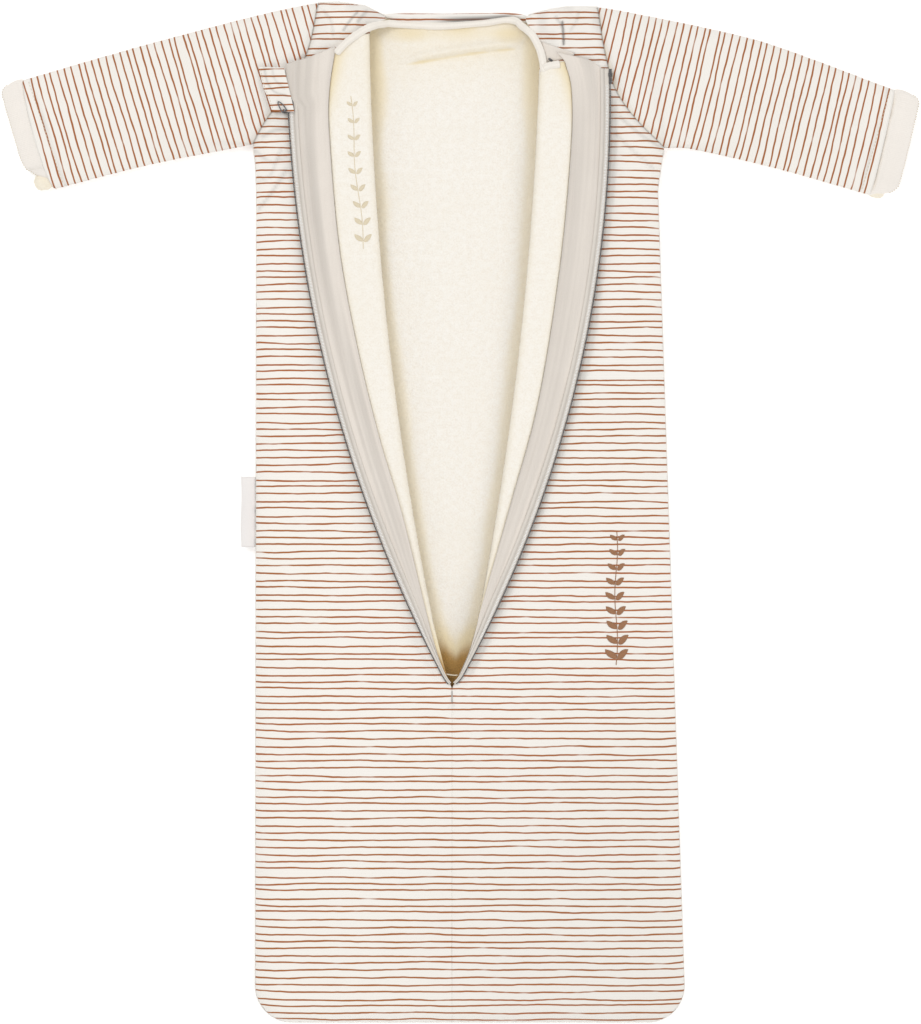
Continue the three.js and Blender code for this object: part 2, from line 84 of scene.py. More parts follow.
RIGHT = SimpleNamespace(
    name="right", sign=1, foot=197.5, chest=174, armpit=(180, 321.6),
    armhole=[(154, 347), (136, 374), (126.5, 409)], shoulder=(121, 445.7),
    shoulder_line=[(93, 445.7), (77, 443)], neck=(60, 438.5),
    front_neck=[(57.2, 433.4), (61.5, 426), (66.5, 417), (70.5, 404)],
    fold_arc=((69, 384), (4.7, -146), 11.9),
    fold_tip=[(-5.6, -152), (-2.6, -146), (2.4, -135), (8.2, -121)],
    zip_arc=((131.2, 390), (0, -148), 37.3), zip_tip=[(-4.4, -152)], chain_top=376,
    border=[(92, 396), (98, 370), (97.5, 318), (87.5, 213), (69, 98), (45.5, 11), (23.5, -66),
            (11, -109), (4.2, -129), (-1, -142), (-4.9, -152)],
    plush_top=[(69, 384), (76, 394), (92, 396)],
    facing_top=[(84.6, 404), (101, 400.5), (115, 396.6), (131, 390.5)],
    sleeve_top=[(244, 421), (291, 407)], sleeve_foot=[(281, 303), (207, 320)],
    wrist_top=(383.2, 372.7), wrist_foot=(361.2, 280.3), hem_reach=1.5,
    cuff=24, cuff_taper=1.0, cuff_lift=1.5, cuff_peep=(5.4, 4.0, 7.0, 5.6),
)
SIDES = (LEFT, RIGHT)

# ---- curves and noise


def step_lengths(line):
    return np.linalg.norm(np.diff(line, axis=0), axis=1)


def length_of(line):
    return float(step_lengths(line).sum())


def run_along(line):
    """Distance from a line's start, at each of its points."""
    return np.concatenate([[0], np.cumsum(step_lengths(line))])


def unit(v):
    return v / np.maximum(np.linalg.norm(v, axis=1, keepdims=True), 1e-9)


def resample(line, n):
    line = np.asarray(line, float)
    along = run_along(line)
    at = np.linspace(0, along[-1], n)
    return np.stack([np.interp(at, along, line[:, k]) for k in range(line.shape[1])], 1)


def spline(points, n):
    p = np.asarray(points, float)
    p = np.vstack([2 * p[0] - p[1], p, 2 * p[-1] - p[-2]])
    t = np.linspace(0, 1, 24, endpoint=False)[:, None]
    parts = []
    for i in range(1, len(p) - 2):
        a, b, c, d = p[i - 1 : i + 3]
        square, cube = (2 * a - 5 * b + 4 * c - d) * t**2, (3 * b - a - 3 * c + d) * t**3
        parts.append(0.5 * (2 * b + (c - a) * t + square + cube))
    return resample(np.vstack(parts + [p[-2][None]]), n)


def arc_out(arc, y):
    """The out value, at height y, of an arc given by its top, foot and sag."""
    (tx, ty), (fx, fy), sag = arc
    dx, dy = tx - fx, ty - fy
    chord = math.hypot(dx, dy)
    radius = chord * chord / (8 * sag) + sag / 2
    back = radius - sag
    cx, cy = (tx + fx) / 2 - back * dy / chord, (ty + fy) / 2 + back * dx / chord
    return cx + np.sqrt(radius**2 - (np.asarray(y, float) - cy) ** 2)


def noise(x, y, seed):
    """Smooth noise from -0.5 to 0.5 with cells of size 1."""
    table = np.random.default_rng(seed).random((64, 64))
    xi, yi = np.floor(x).astype(int), np.floor(y).astype(int)
    fx, fy = x - xi, y - yi
    fx, fy = (f**3 * (f * (f * 6 - 15) + 10) for f in (fx, fy))
    g = lambda i, j: table[i % 64, j % 64]
    low = g(xi, yi) * (1 - fx) + g(xi + 1, yi) * fx
    high = g(xi, yi + 1) * (1 - fx) + g(xi + 1, yi + 1) * fx
    return low * (1 - fy) + high * fy - 0.5


def ridges(x, y, angle, long, wide, seed):
    """Noise stretched along a direction, for soft lengthwise creases."""
    a = math.radians(angle)
    along, across = x * math.cos(a) + y * math.sin(a), -x * math.sin(a) + y * math.cos(a)
    along, across = along / long, across / wide
    return noise(along, across, seed) + 0.5 * noise(along * 2.1, across * 2.1, seed + 1)


def ease(low, high, x):
    t = np.clip((x - low) / (high - low), 0, 1)
    return t * t * (3 - 2 * t)


def bell(d, width, power=2):
    return np.exp(-((d / width) ** power))


def rounded(d, radius):
    t = np.clip(d / radius, 0, 1)
    return np.sqrt(1 - (1 - t) ** 2)


def distance(points, line):
    """How far each point of a grid is from a line."""
    fine = resample(line, max(2, int(length_of(line))))
    tree = KDTree(len(fine))
    for i, p in enumerate(fine):
        tree.insert((p[0], p[1], 0), i)
    tree.balance()
    flat = points.reshape(-1, 2)
    return np.array([tree.find((x, y, 0))[2] for x, y in flat]).reshape(points.shape[:-1])


def clustered(n, low=0.0, high=0.0):
    """n values from 0 to 1, denser at either end as low and high grow from 0 to 1."""
    t = np.linspace(0, 1, n)
    if low and high:
        dense = np.where(t < 0.5, 0.5 * (2 * t) ** 2.2, 1 - 0.5 * (2 - 2 * t) ** 2.2)
    else:
        dense = t**2.2 if low else 1 - (1 - t) ** 2.2
    share = max(low, high)
    return (1 - share) * t + share * dense


def coons(inner, outer, foot, top, us=None, vs=None):
    """Plan grid, rows from the inner to the outer edge. inner and outer run up, foot and top run out."""
    nv, nu = len(inner), len(foot)
    v = (np.linspace(0, 1, nv) if vs is None else vs)[:, None, None]
    u = (np.linspace(0, 1, nu) if us is None else us)[None, :, None]
    even = lambda line: np.linspace(0, 1, len(line))
    pick = lambda line, t: np.stack([np.interp(t, even(line), line[:, k]) for k in range(2)], 1)
    if us is not None:
        foot, top = pick(foot, us), pick(top, us)
    if vs is not None:
        inner, outer = pick(inner, vs), pick(outer, vs)
    a = (1 - u) * inner[:, None] + u * outer[:, None]
    b = (1 - v) * foot[None] + v * top[None]
    low = (1 - u) * (1 - v) * inner[0] + u * (1 - v) * outer[0]
    return a + b - (low + (1 - u) * v * inner[-1] + u * v * outer[-1])


def mirrored(side, line):
    """Points in (x, y) from points in (out, y)."""
    line = np.array(line, float)
    line[..., 0] *= side.sign
    return line


# ---- meshes


def mesh_object(name, points, faces, uv=None, materials=(), index=None, painted_shade=None):
    """points in millimetres; uv in millimetres, one for each point; painted_shade from 0 to 1, one for each
    point, is how much painted shade each point gets.
    """
    mesh = bpy.data.meshes.new(name)
    faces = faces.tolist() if isinstance(faces, np.ndarray) else faces
    mesh.from_pydata((np.asarray(points, float) * MM).tolist(), [], faces)
    if uv is not None:
        layer = mesh.uv_layers.new(name="UVMap")
        loops = np.zeros(len(mesh.loops), np.int32)
        mesh.loops.foreach_get("vertex_index", loops)
        layer.data.foreach_set("uv", (np.asarray(uv, float)[loops] * MM).astype(np.float32).ravel())
    for m in materials:
        mesh.materials.append(m)
    if index is not None:
        mesh.polygons.foreach_set("material_index", np.asarray(index, np.int32))
    shade = np.zeros(len(mesh.vertices)) if painted_shade is None else np.clip(painted_shade, 0, 1)
    # the painted_shade colour attribute holds painted shade, which the materials mix into their colour
    colour = mesh.color_attributes.new(name="painted_shade", type="FLOAT_COLOR", domain="POINT")
    rgba = np.repeat(shade[:, None], 4, 1)
    rgba[:, 3] = 1
    colour.data.foreach_set("color", rgba.astype(np.float32).ravel())
    mesh.polygons.foreach_set("use_smooth", np.ones(len(mesh.polygons), bool))
    mesh.update()
    o = bpy.data.objects.new(name, mesh)
    bpy.context.scene.collection.objects.link(o)
    return o


def quads(nv, nu, closed=False, start=0):
    i = np.arange(nv - 1)[:, None]
    j = np.arange(nu if closed else nu - 1)[None, :]
    k = (j + 1) % nu
    f = np.stack([i * nu + j, i * nu + k, (i + 1) * nu + k, (i + 1) * nu + j], -1)
    return f.reshape(-1, 4) + start


def outward(o):
    """Turns the faces of a closed mesh so that they look outwards."""
    mesh = o.data
    p = np.zeros(len(mesh.vertices) * 3)
    mesh.vertices.foreach_get("co", p)
    p = p.reshape(-1, 3)
    mesh.calc_loop_triangles()
    t = np.zeros(len(mesh.loop_triangles) * 3, np.int32)
    mesh.loop_triangles.foreach_get("vertices", t)
    a, b, c = (p[t.reshape(-1, 3)[:, i]] for i in range(3))
    if (a * np.cross(b, c)).sum() < 0:
        mesh.flip_normals()
    return o


def slab(name, plan, top, low, uv, materials, painted_shade=None):
    """A closed piece between two heights over a plan grid. materials are for its top, underside and rim."""
    nv, nu = plan.shape[:2]
    n = nv * nu
    points = np.vstack([
        np.concatenate([plan, top[..., None]], -1).reshape(-1, 3),
        np.concatenate([plan, low[..., None]], -1).reshape(-1, 3),
    ])
    upper, lower = quads(nv, nu), quads(nv, nu, start=n)[:, ::-1]
    ring = np.concatenate([
        np.arange(nu), np.arange(1, nv) * nu + nu - 1,
        (nv - 1) * nu + np.arange(nu - 2, -1, -1), np.arange(nv - 2, 0, -1) * nu,
    ])
    nxt = np.roll(ring, -1)
    rim = np.stack([ring, ring + n, nxt + n, nxt], -1)
    faces = np.vstack([upper, lower, rim])
    index = np.concatenate([np.zeros(len(upper)), np.ones(len(lower)), np.full(len(rim), 2)])
    both = np.vstack([uv.reshape(-1, 2)] * 2)
    shade = None if painted_shade is None else np.concatenate([painted_shade.ravel(), np.zeros(n)])
    return outward(mesh_object(name, points, faces, both, materials, index, shade))


def tube(name, path, radii, material, sides):
    """A closed tube along a path. radii are (across, up) for each point, or one pair."""
    path = np.asarray(path, float)
    n = len(path)
    radii = np.broadcast_to(np.asarray(radii, float), (n, 2))[:, None]
    along = unit(np.gradient(path, axis=0))
    across = unit(np.cross(along, UP))
    rise = np.cross(across, along)
    angle = np.linspace(0, 2 * math.pi, sides, endpoint=False)
    c, s = np.cos(angle)[None, :, None], np.sin(angle)[None, :, None]
    ring = path[:, None] + across[:, None] * (c * radii[..., :1]) + rise[:, None] * (s * radii[..., 1:])
    uv = np.stack(np.broadcast_arrays(angle[None] / (2 * math.pi) * 12, run_along(path)[:, None]), -1)
    faces = quads(n, sides, closed=True).tolist()
    faces += [list(range(sides - 1, -1, -1)), list(range((n - 1) * sides, n * sides))]
    return outward(mesh_object(name, ring.reshape(-1, 3), faces, uv.reshape(-1, 2), [material]))


def copied(faces, size, count):
    """Faces of count copies of a shape with size points."""
    return [[v + i * size for v in f] for i in range(count) for f in faces]


def repeated(name, shape, faces, centres, along, material):
    """Copies of one small closed shape, given as (along, across, up) points, at each centre."""
    shape, centres = np.asarray(shape, float), np.asarray(centres, float)
    along = unit(np.asarray(along, float))
    across = unit(np.cross(UP, along))
    rise = np.cross(along, across)
    a, b, c = (shape[None, :, k : k + 1] for k in range(3))
    points = centres[:, None] + along[:, None] * a + across[:, None] * b + rise[:, None] * c
    uv = np.tile(shape[:, :2], (len(centres), 1))
    faces = copied(faces, len(shape), len(centres))
    return outward(mesh_object(name, points.reshape(-1, 3), faces, uv, [material]))


def bead(length, width, height, rings=4, sides=6):
    """A small rounded stitch: points as (along, across, up), and faces."""
    points, faces = [(-length / 2, 0, 0)], []
    for i in range(1, rings):
        a = math.pi * i / rings
        for j in range(sides):
            b = 2 * math.pi * j / sides
            r = math.sin(a) ** 0.6
            across, rise = r * math.cos(b), r * math.sin(b)
            points.append((-math.cos(a) * length / 2, across * width / 2, rise * height / 2))
    points.append((length / 2, 0, 0))
    last = len(points) - 1
    for j in range(sides):
        k = (j + 1) % sides
        faces.append([0, 1 + k, 1 + j])
        for i in range(rings - 2):
            a, b = 1 + i * sides, 1 + (i + 1) * sides
            faces.append([a + j, a + k, b + k, b + j])
        faces.append([last, 1 + (rings - 2) * sides + j, 1 + (rings - 2) * sides + k])
    return np.array(points), faces


def stitches(name, path, pitch, length, width, material, height):
    """Dashes of thread along a path."""
    at = resample(path, max(3, int(length_of(path) / pitch) + 1))
    shape, faces = bead(length, width, height)
    return repeated(name, shape, faces, at, np.gradient(at, axis=0), material)

# ---- materials


def srgb(r, g, b):
    """A colour for a shader from its 8-bit values."""
    lin = lambda c: c / 12.92 if c <= 0.04045 else ((c + 0.055) / 1.055) ** 2.4
    return (lin(r / 255), lin(g / 255), lin(b / 255), 1)


class Nodes:
    """A short way to write a node tree."""

    def __init__(self, name, colour, roughness=0.9, sheen=0.0, metallic=0.0):
        self.material = bpy.data.materials.new(name)
        self.material.use_nodes = True
        self.tree = self.material.node_tree
        self.bsdf = self.tree.nodes["Principled BSDF"]
        for key, value in (
            ("Base Color", colour), ("Roughness", roughness), ("Metallic", metallic), ("Sheen Weight", sheen),
            ("Sheen Roughness", 0.5), ("Specular IOR Level", 0.25 if metallic < 0.5 else 0.5),
        ):
            self.feed(self.bsdf, key, value)
        self.material.diffuse_color = colour

    def add(self, kind, **values):
        node = self.tree.nodes.new(kind)
        for key, value in values.items():
            setattr(node, key, value)
        return node

    def link(self, source, target):
        self.tree.links.new(source, target)

    def feed(self, node, key, value):
        if hasattr(value, "is_linked"):
            self.link(value, node.inputs[key])
        else:
            node.inputs[key].default_value = value

    def math(self, operation, a, b=0.0, c=0.0):
        node = self.add("ShaderNodeMath", operation=operation)
        for i, value in enumerate((a, b, c)):
            if i < len(node.inputs):
                self.feed(node, i, value)
        return node.outputs[0]

    def plus(self, a, b):
        return self.math("ADD", a, b)

    def times(self, a, b):
        return self.math("MULTIPLY", a, b)

    def uv(self):
        """The piece's own cloth coordinates, in metres."""
        split = self.add("ShaderNodeSeparateXYZ")
        self.link(self.add("ShaderNodeUVMap", uv_map="UVMap").outputs[0], split.inputs[0])
        return split.outputs[0], split.outputs[1]

    def vector(self, x, y):
        node = self.add("ShaderNodeCombineXYZ")
        self.feed(node, 0, x)
        self.feed(node, 1, y)
        return node.outputs[0]

    def noise(self, vector, scale, detail=2.0, rough=0.5):
        node = self.add("ShaderNodeTexNoise")
        for key, value in (("Vector", vector), ("Scale", scale), ("Detail", detail), ("Roughness", rough)):
            self.feed(node, key, value)
        return node.outputs["Fac"]

    def ramp(self, value, low, high):
        """Smooth from 0 at low to 1 at high."""
        node = self.add("ShaderNodeMapRange", interpolation_type="SMOOTHSTEP")
        self.feed(node, 0, value)
        node.inputs[1].default_value, node.inputs[2].default_value = low, high
        return node.outputs[0]

    def mix(self, factor, a, b):
        node = self.add("ShaderNodeMix", data_type="RGBA")
        for i, value in ((0, factor), (6, a), (7, b)):
            self.feed(node, i, value)
        return node.outputs[2]

    def painted_shade(self):
        # painted shade of each point, from the mesh's colour attribute
        return self.add("ShaderNodeVertexColor", layer_name="painted_shade").outputs[0]

    def colour(self, value):
        self.link(value, self.bsdf.inputs["Base Color"])

    def bump(self, height, strength, size):
        node = self.add("ShaderNodeBump")
        node.inputs["Strength"].default_value = strength
        node.inputs["Distance"].default_value = size
        self.link(height, node.inputs["Height"])
        self.link(node.outputs[0], self.bsdf.inputs["Normal"])


def ribs(n, coordinate, pitch):
    """Fine knit ribs: 0 to 1 waves along a coordinate."""
    wave = n.math("SINE", n.times(coordinate, 2 * math.pi / pitch))
    return n.math("MULTIPLY_ADD", wave, 0.5, 0.5)


def shell_material():
    """Off-white jersey with thin, uneven, hand-drawn rust stripes across the v coordinate, darkened towards
    grey by painted shade.
    """
    white = srgb(251, 247, 241)
    n = Nodes("striped_jersey", white, 0.85, 0.12)
    u, v = n.uv()
    row = n.math("DIVIDE", v, STRIPE * MM)
    number = n.math("FLOOR", row)
    chance = n.add("ShaderNodeTexWhiteNoise", noise_dimensions="1D")
    n.link(number, chance.inputs["W"])
    uneven = n.math("MULTIPLY_ADD", chance.outputs["Value"], 0.3, -0.15)
    drift = n.noise(n.vector(n.times(u, 15.0), n.times(number, 1.37)), 1.0, 1.0)
    tremor = n.noise(n.vector(n.times(u, 95.0), n.times(number, 2.13)), 1.0, 1.0)
    wander = n.plus(n.math("MULTIPLY_ADD", drift, 0.66, -0.33), n.math("MULTIPLY_ADD", tremor, 0.14, -0.07))
    middle = n.plus(n.plus(uneven, wander), 0.5)
    off = n.math("ABSOLUTE", n.math("SUBTRACT", n.math("FRACT", row), middle))
    pressure = n.noise(n.vector(n.times(u, 42.0), n.times(number, 1.71)), 1.0, 2.0)
    half = n.math("MULTIPLY_ADD", pressure, 0.1, 0.068)
    edge = n.math("DIVIDE", n.math("SUBTRACT", half, off), 0.03)
    line = n.ramp(edge, -0.6, 0.9)
    knit = ribs(n, v, 0.0013)
    cloud = n.noise(n.vector(u, v), 9.0, 3.0)
    cloth = n.mix(n.times(knit, 0.45), white, srgb(235, 230, 223))
    cloth = n.mix(n.ramp(cloud, 0.35, 0.75), cloth, n.mix(0.2, cloth, srgb(240, 236, 229)))
    rust = n.mix(n.ramp(n.noise(n.vector(u, v), 4.2, 2.0), 0.4, 0.62), srgb(168, 103, 56), srgb(173, 103, 60))
    inked = n.mix(n.times(line, n.ramp(pressure, 0.05, 0.42)), cloth, rust)
    # painted shade: the painted_shade attribute darkens the striped cloth towards grey
    n.colour(n.mix(n.times(n.painted_shade(), 0.75), inked, srgb(100, 98, 96)))
    n.bump(n.plus(knit, n.times(n.noise(n.vector(u, v), 1500.0, 2.0), 1.2)), 0.35, 0.0002)
    return n.material


def plush_material():
    """Short-pile cream plush: fuzzy at 1 to 2 mm, with golden painted shade where it is deep in a fold."""
    n = Nodes("plush", srgb(247, 241, 227), 0.95, 0.35)
    u, v = n.uv()
    place = n.vector(u, v)
    pile = n.noise(place, 620.0, 4.0, 0.65)
    tufts = n.noise(place, 190.0, 3.0, 0.6)
    cloud = n.noise(place, 14.0, 3.0)
    base = n.mix(n.ramp(pile, 0.3, 0.7), srgb(243, 236, 225), srgb(251, 247, 239))
    base = n.mix(n.times(n.ramp(tufts, 0.35, 0.7), 0.45), base, srgb(254, 252, 247))
    base = n.mix(n.times(n.ramp(cloud, 0.4, 0.75), 0.3), base, srgb(246, 240, 228))
    # painted shade: light golden where the shade is slight, brown where it is deep
    shade = n.painted_shade()
    painted_warm_shade = n.mix(n.ramp(shade, 0.0, 0.55), base, srgb(241, 226, 191))
    n.colour(n.mix(n.ramp(shade, 0.5, 1.0), painted_warm_shade, srgb(187, 147, 86)))
    n.bump(n.plus(pile, n.times(tufts, 1.5)), 0.55, 0.0009)
    return n.material


def jersey_material(name, rgb, pitch, along_u, strength, dark=14):
    """Plain knit or woven cloth with fine ribs, darkened by painted shade."""
    n = Nodes(name, srgb(*rgb), 0.88, 0.15)
    u, v = n.uv()
    knit = ribs(n, u if along_u else v, pitch)
    grain = n.noise(n.vector(u, v), 900.0, 2.0)
    cloud = n.noise(n.vector(u, v), 22.0, 3.0)
    lower = srgb(*(c - dark for c in rgb))
    cloth = n.mix(n.times(knit, 0.35), srgb(*rgb), lower)
    cloth = n.mix(n.times(n.ramp(grain, 0.4, 0.7), 0.3), cloth, lower)
    cloth = n.mix(n.times(n.ramp(cloud, 0.4, 0.7), 0.25), cloth, srgb(*(min(255, c + 7) for c in rgb)))
    # painted shade: the painted_shade attribute darkens the cloth
    n.colour(n.mix(n.times(n.painted_shade(), 0.5), cloth, srgb(*(int(c * 0.62) for c in rgb))))
    n.bump(n.plus(knit, n.times(grain, 0.8)), strength, 0.0003)
    return n.material


def thread_material(name, rgb):
    """Shiny sewing thread with a fine twist."""
    n = Nodes(name, srgb(*rgb), 0.55, 0.2)
    n.feed(n.bsdf, "Specular IOR Level", 0.4)
    u, v = n.uv()
    twist = ribs(n, n.plus(u, v), 0.0006)
    n.colour(n.mix(n.times(twist, 0.5), srgb(*rgb), srgb(*(int(c * 0.8) for c in rgb))))
    n.bump(twist, 0.3, 0.0001)
    return n.material


def hard_material(name, rgb, roughness, metallic):
    """Plastic or metal, slightly worn."""
    n = Nodes(name, srgb(*rgb), roughness, 0.0, metallic)
    place = n.add("ShaderNodeTexCoord").outputs["Object"]
    worn = n.noise(place, 900.0, 4.0)
    n.colour(n.mix(n.ramp(worn, 0.35, 0.7), srgb(*rgb), srgb(*(min(255, c + 28) for c in rgb))))
    n.bump(n.noise(place, 2600.0, 2.0), 0.15, 0.0001)
    return n.material


SHELL = shell_material()
PLUSH = plush_material()
FACING = jersey_material("facing_jersey", (234, 226, 217), 0.0012, True, 0.35)
CUFF = jersey_material("cuff_jersey", (245, 239, 232), 0.0016, True, 0.5, 9)
SEAM = jersey_material("seam_jersey", (248, 244, 238), 0.0013, True, 0.3, 12)
BINDING = jersey_material("cream_jersey", (246, 240, 231), 0.0016, True, 0.5)
TAPE = jersey_material("zip_tape_weave", (228, 221, 212), 0.0009, False, 0.5, 16)
LABEL = jersey_material("label_satin", (242, 238, 236), 0.0007, False, 0.25, 8)
RUNGS = hard_material("zip_rung_plastic", (236, 234, 230), 0.5, 0.0)
TEETH = hard_material("zip_teeth_plastic", (96, 95, 95), 0.4, 0.0)
METAL = hard_material("zip_gunmetal", (86, 85, 86), 0.38, 0.8)
BROWN_THREAD = thread_material("brown_thread", (170, 122, 86))
PALE_THREAD = thread_material("pale_thread", (226, 214, 190))
GREY_THREAD = thread_material("grey_thread", (206, 202, 196))
TONE_THREAD = thread_material("tone_thread", (241, 228, 200))

# ---- plan curves of each side


def armhole(side):
    return spline([side.armpit, *side.armhole, side.shoulder], 90)


def outer_edge(side):
    """From the middle of the foot's rounded corner up to the shoulder."""
    return np.vstack([side_seam(side), armhole(side)[1:]])


def corner(side, start, end, n):
    """Part of the foot's rounded corner, between two angles in degrees."""
    a = np.radians(np.linspace(start, end, n))
    return np.stack([side.foot - FOOT_RADIUS * (1 - np.sin(a)), FOOT_Y + FOOT_RADIUS * (1 - np.cos(a))], 1)


def side_seam(side):
    """From the middle of the foot's rounded corner up to the armpit."""
    straight = [(side.chest, 284), (side.armpit[0] - 2.5, 309), side.armpit]
    return resample(np.vstack([corner(side, 45, 90, 12), straight]), 300)


def foot_seam(side):
    """From the centre out to the middle of the rounded corner."""
    return resample(np.vstack([[(side.tip[0], FOOT_Y)], corner(side, 0, 45, 10)]), 120)


def whole_foot(n):
    """The foot's seam from the left to the right corner, in (x, y)."""
    left, right = (mirrored(side, foot_seam(side)) for side in SIDES)
    return resample(np.vstack([left[::-1], right[1:]]), n)


def shoulder_seam(side):
    return [side.neck, *side.shoulder_line[::-1], side.shoulder]


def edge_line(side, kind):
    """The fold or the zip of one side, from the tip up."""
    arc = getattr(side, kind + "_arc")
    y = np.linspace(-100 if kind == "fold" else -146, arc[0][1], 60)
    upper = np.stack([arc_out(arc, y), y], 1)
    return spline([side.tip, *getattr(side, kind + "_tip"), *upper], 420)


for side in SIDES:
    side.tip = (side.sign * TIP[0], TIP[1])
    side.fold, side.zip = edge_line(side, "fold"), edge_line(side, "zip")
    side.border_line = spline([*side.border, side.tip], 420)[::-1]


def out_at(line, y, grow=0.0):
    return np.interp(y, line[:, 1], line[:, 0]) + grow


def slice_between(line, y0, y1, n, grow=0.0):
    """Part of a line of rising y, moved out by grow."""
    y = np.linspace(y0, y1, 400)
    return resample(np.stack([out_at(line, y, grow), y], 1), n)


def mark(o, slot, *nodes):
    if nodes:
        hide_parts(*nodes)
    return o


def piece(o, body, slot, *nodes):
    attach(o, body)
    return mark(o, slot, *nodes)


def bent(o, side, slot, *nodes):
    """Cloth of a flap: its transform is baked and the parts that it stands for are hidden."""
    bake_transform(o)
    return mark(o, slot, *nodes)

# ---- body

def soft(x, y, seed, big=1.0, small=1.0):
    """Gentle unevenness of padded cloth, in millimetres."""
    return (
        big * 1.5 * ridges(x, y, 78, 190, 46, seed)
        + small * 0.7 * ridges(x, y, 15, 60, 22, seed + 5)
        + small * 0.35 * noise(x / 13, y / 17, seed + 9)
    )


def puckers(along, depth, seed):
    """Small gathers beside a seam; depth is the distance from it."""
    return noise(along / 9.0, 0.3, seed) * np.exp(-depth / 8.0)


def make_back():
    nv, nu = 340, 150
    left, right = (mirrored(side, outer_edge(side)) for side in SIDES)
    foot = whole_foot(nu)
    neck = spline([(-68, 438.5), (-50, 436.5), (-18, 435.2), (19, 436.8), (38, 438), (60, 438.5)], 30)
    over_left, over_right = (mirrored(side, [side.shoulder, *side.shoulder_line]) for side in SIDES)
    top = resample(np.vstack([over_left, neck, over_right[::-1]]), nu)
    us, vs = clustered(nu, 0.75, 0.75), clustered(nv, 0.7, 0.7)
    plan = coons(resample(left, nv), resample(right, nv), foot, top, us, vs)
    x, y = plan[..., 0], plan[..., 1]
    d = distance(plan, np.vstack([left[::-1][89:], foot, right[:300]]))
    low = 0.35 + (SEAM_Z - 0.6) * (1 - rounded(d, 24))
    thick = 1.1 + 3.4 * ease(0, 14, d)
    wrinkle = 1.5 * ridges(x, y, 4, 150, 17, 31) * ease(385, 425, y) + 0.8 * soft(x, y, 41)
    wrinkle += 1.1 * ridges(x, y, 88, 120, 26, 47) * ease(-170, -60, y)
    wrinkle *= ease(0, 30, d)
    top_z = low + thick + np.maximum(wrinkle, -1.2) + 0.6 * ease(20, 80, d)
    # one wrinkle lies across the back below the neck
    crest = 402.8 + 0.13 * x + 1.2 * np.sin(x / 26 + 1) - y
    reach_x = ease(-60, -30, x) * ease(62, 36, x)
    top_z += reach_x * (3.6 * bell(crest + 4.8, 4.2) - 1.8 * bell(crest - 1.2, 2.2))
    # painted shade: the plush is painted darker where the folds stand over it, deep at the foot of the
    # opening, in the wrinkle and towards the neck
    shade = np.zeros_like(x)
    width = np.maximum(out_at(LEFT.fold, y) + out_at(RIGHT.fold, y), 1)
    deep = ease(44, 12, width) * (y < 0)
    for side, strong in ((LEFT, 0.42), (RIGHT, 0.36)):
        into = out_at(side.fold, y) - side.sign * x
        reach = np.clip(10.5 + 6 * noise(y / 46, side.sign * 3.3, 61), 6, 15) + 4.5 * ease(300, 390, y)
        band = (strong + 0.18 * ease(300, 395, y)) * bell(np.clip(into, 0, 200), reach, 3.4)
        band *= y > TIP[1] - 5
        shade = np.maximum(shade, np.clip(band * (0.75 + 0.5 * deep) + 0.68 * deep, 0, 1))
        shade = np.maximum(shade, 0.3 * ease(0, -14, into))
    for darker in (
        0.5 * reach_x * bell(crest - 0.2, 1.7) * (0.9 + 0.8 * noise(x / 9, y / 9, 52)),
        0.24 * reach_x * bell(crest + 2.0, 5.0),
        0.5 * ease(400, 428, y) * (0.75 + 0.6 * noise(x / 22, y / 12, 49)),
        0.2 * ease(340, 412, y) * (0.8 + 0.5 * noise(x / 30, y / 24, 50)),
    ):
        shade = np.maximum(shade, darker)
    split = low + 1.0 * np.clip(thick / 4.5, 0.3, 1)
    cover = slab("back_cover", plan, split, low, plan, [SHELL] * 3)
    split = split + 0.25
    lining = slab("back_plush", plan, np.maximum(top_z, split + 0.4), split, plan, [PLUSH] * 3, shade)
    piece(cover, "bag", "shell", "back_shell")
    piece(lining, "bag", "plush", "back_lining", "back_wadding")


def front_height(side, x, y, d_seam, d_fold, d_arm):
    """Height of the striped front of one side at plan points."""
    s = side.sign
    z = SEAM_Z + 0.5 + (FRONT_TOP - SEAM_Z - 0.5) * rounded(d_seam, 25) ** 0.9
    free = ease(2, 45, np.minimum(d_seam, d_fold + 8))
    seed = 3 if s < 0 else 19
    z = z + 0.75 * soft(x, y, seed) * free
    z += puckers(y, d_seam, seed + 2) * 1.6 * (y > FOOT_Y + 60)
    z += puckers(x, d_seam, seed + 3) * 1.4 * (y < FOOT_Y + 60)
    # armhole seam, with gathers that fan out from the armpit
    z -= 2.6 * bell(d_arm, 3.2) + 0.9 * np.exp(-d_arm / 9)
    ax, ay = s * side.armpit[0], side.armpit[1]
    bearing = np.degrees(np.arctan2(y - ay, s * (ax - x) + 1e-6))
    far = np.hypot(x - ax, y - ay)
    fan = noise(bearing / 13 + 4, 0.7, seed + 7)
    z += 3.0 * fan * np.exp(-far / 60) * ease(3, 20, far)
    # creases that run down from the foot of the zip
    tx, ty = TIP
    down = ease(0, 12, ty - y) * np.exp(-np.clip(ty - y, 0, 400) / 60)
    z -= 0.9 * bell(x - tx, 2.2) * (y < ty + 2) * (0.35 + 0.65 * down)
    beside = np.abs(np.abs(x - tx) - (9 + 0.55 * np.clip(y - ty, -6, 90)))
    z -= 0.8 * bell(beside, 3.0) * ease(-8, 6, y - ty) * ease(120, 40, y - ty)
    return z


def groove(x, y, points, wide):
    """1 on a line, falling to 0 on either side of it."""
    line = spline(points, 40)
    (x0, y0), (x1, y1) = line.min(0) - 12, line.max(0) + 12
    near = (x > x0) & (x < x1) & (y > y0) & (y < y1)
    far = np.full(x.shape, 99.0)
    far[near] = distance(np.stack([x[near], y[near]], -1), line)
    return bell(far, wide)
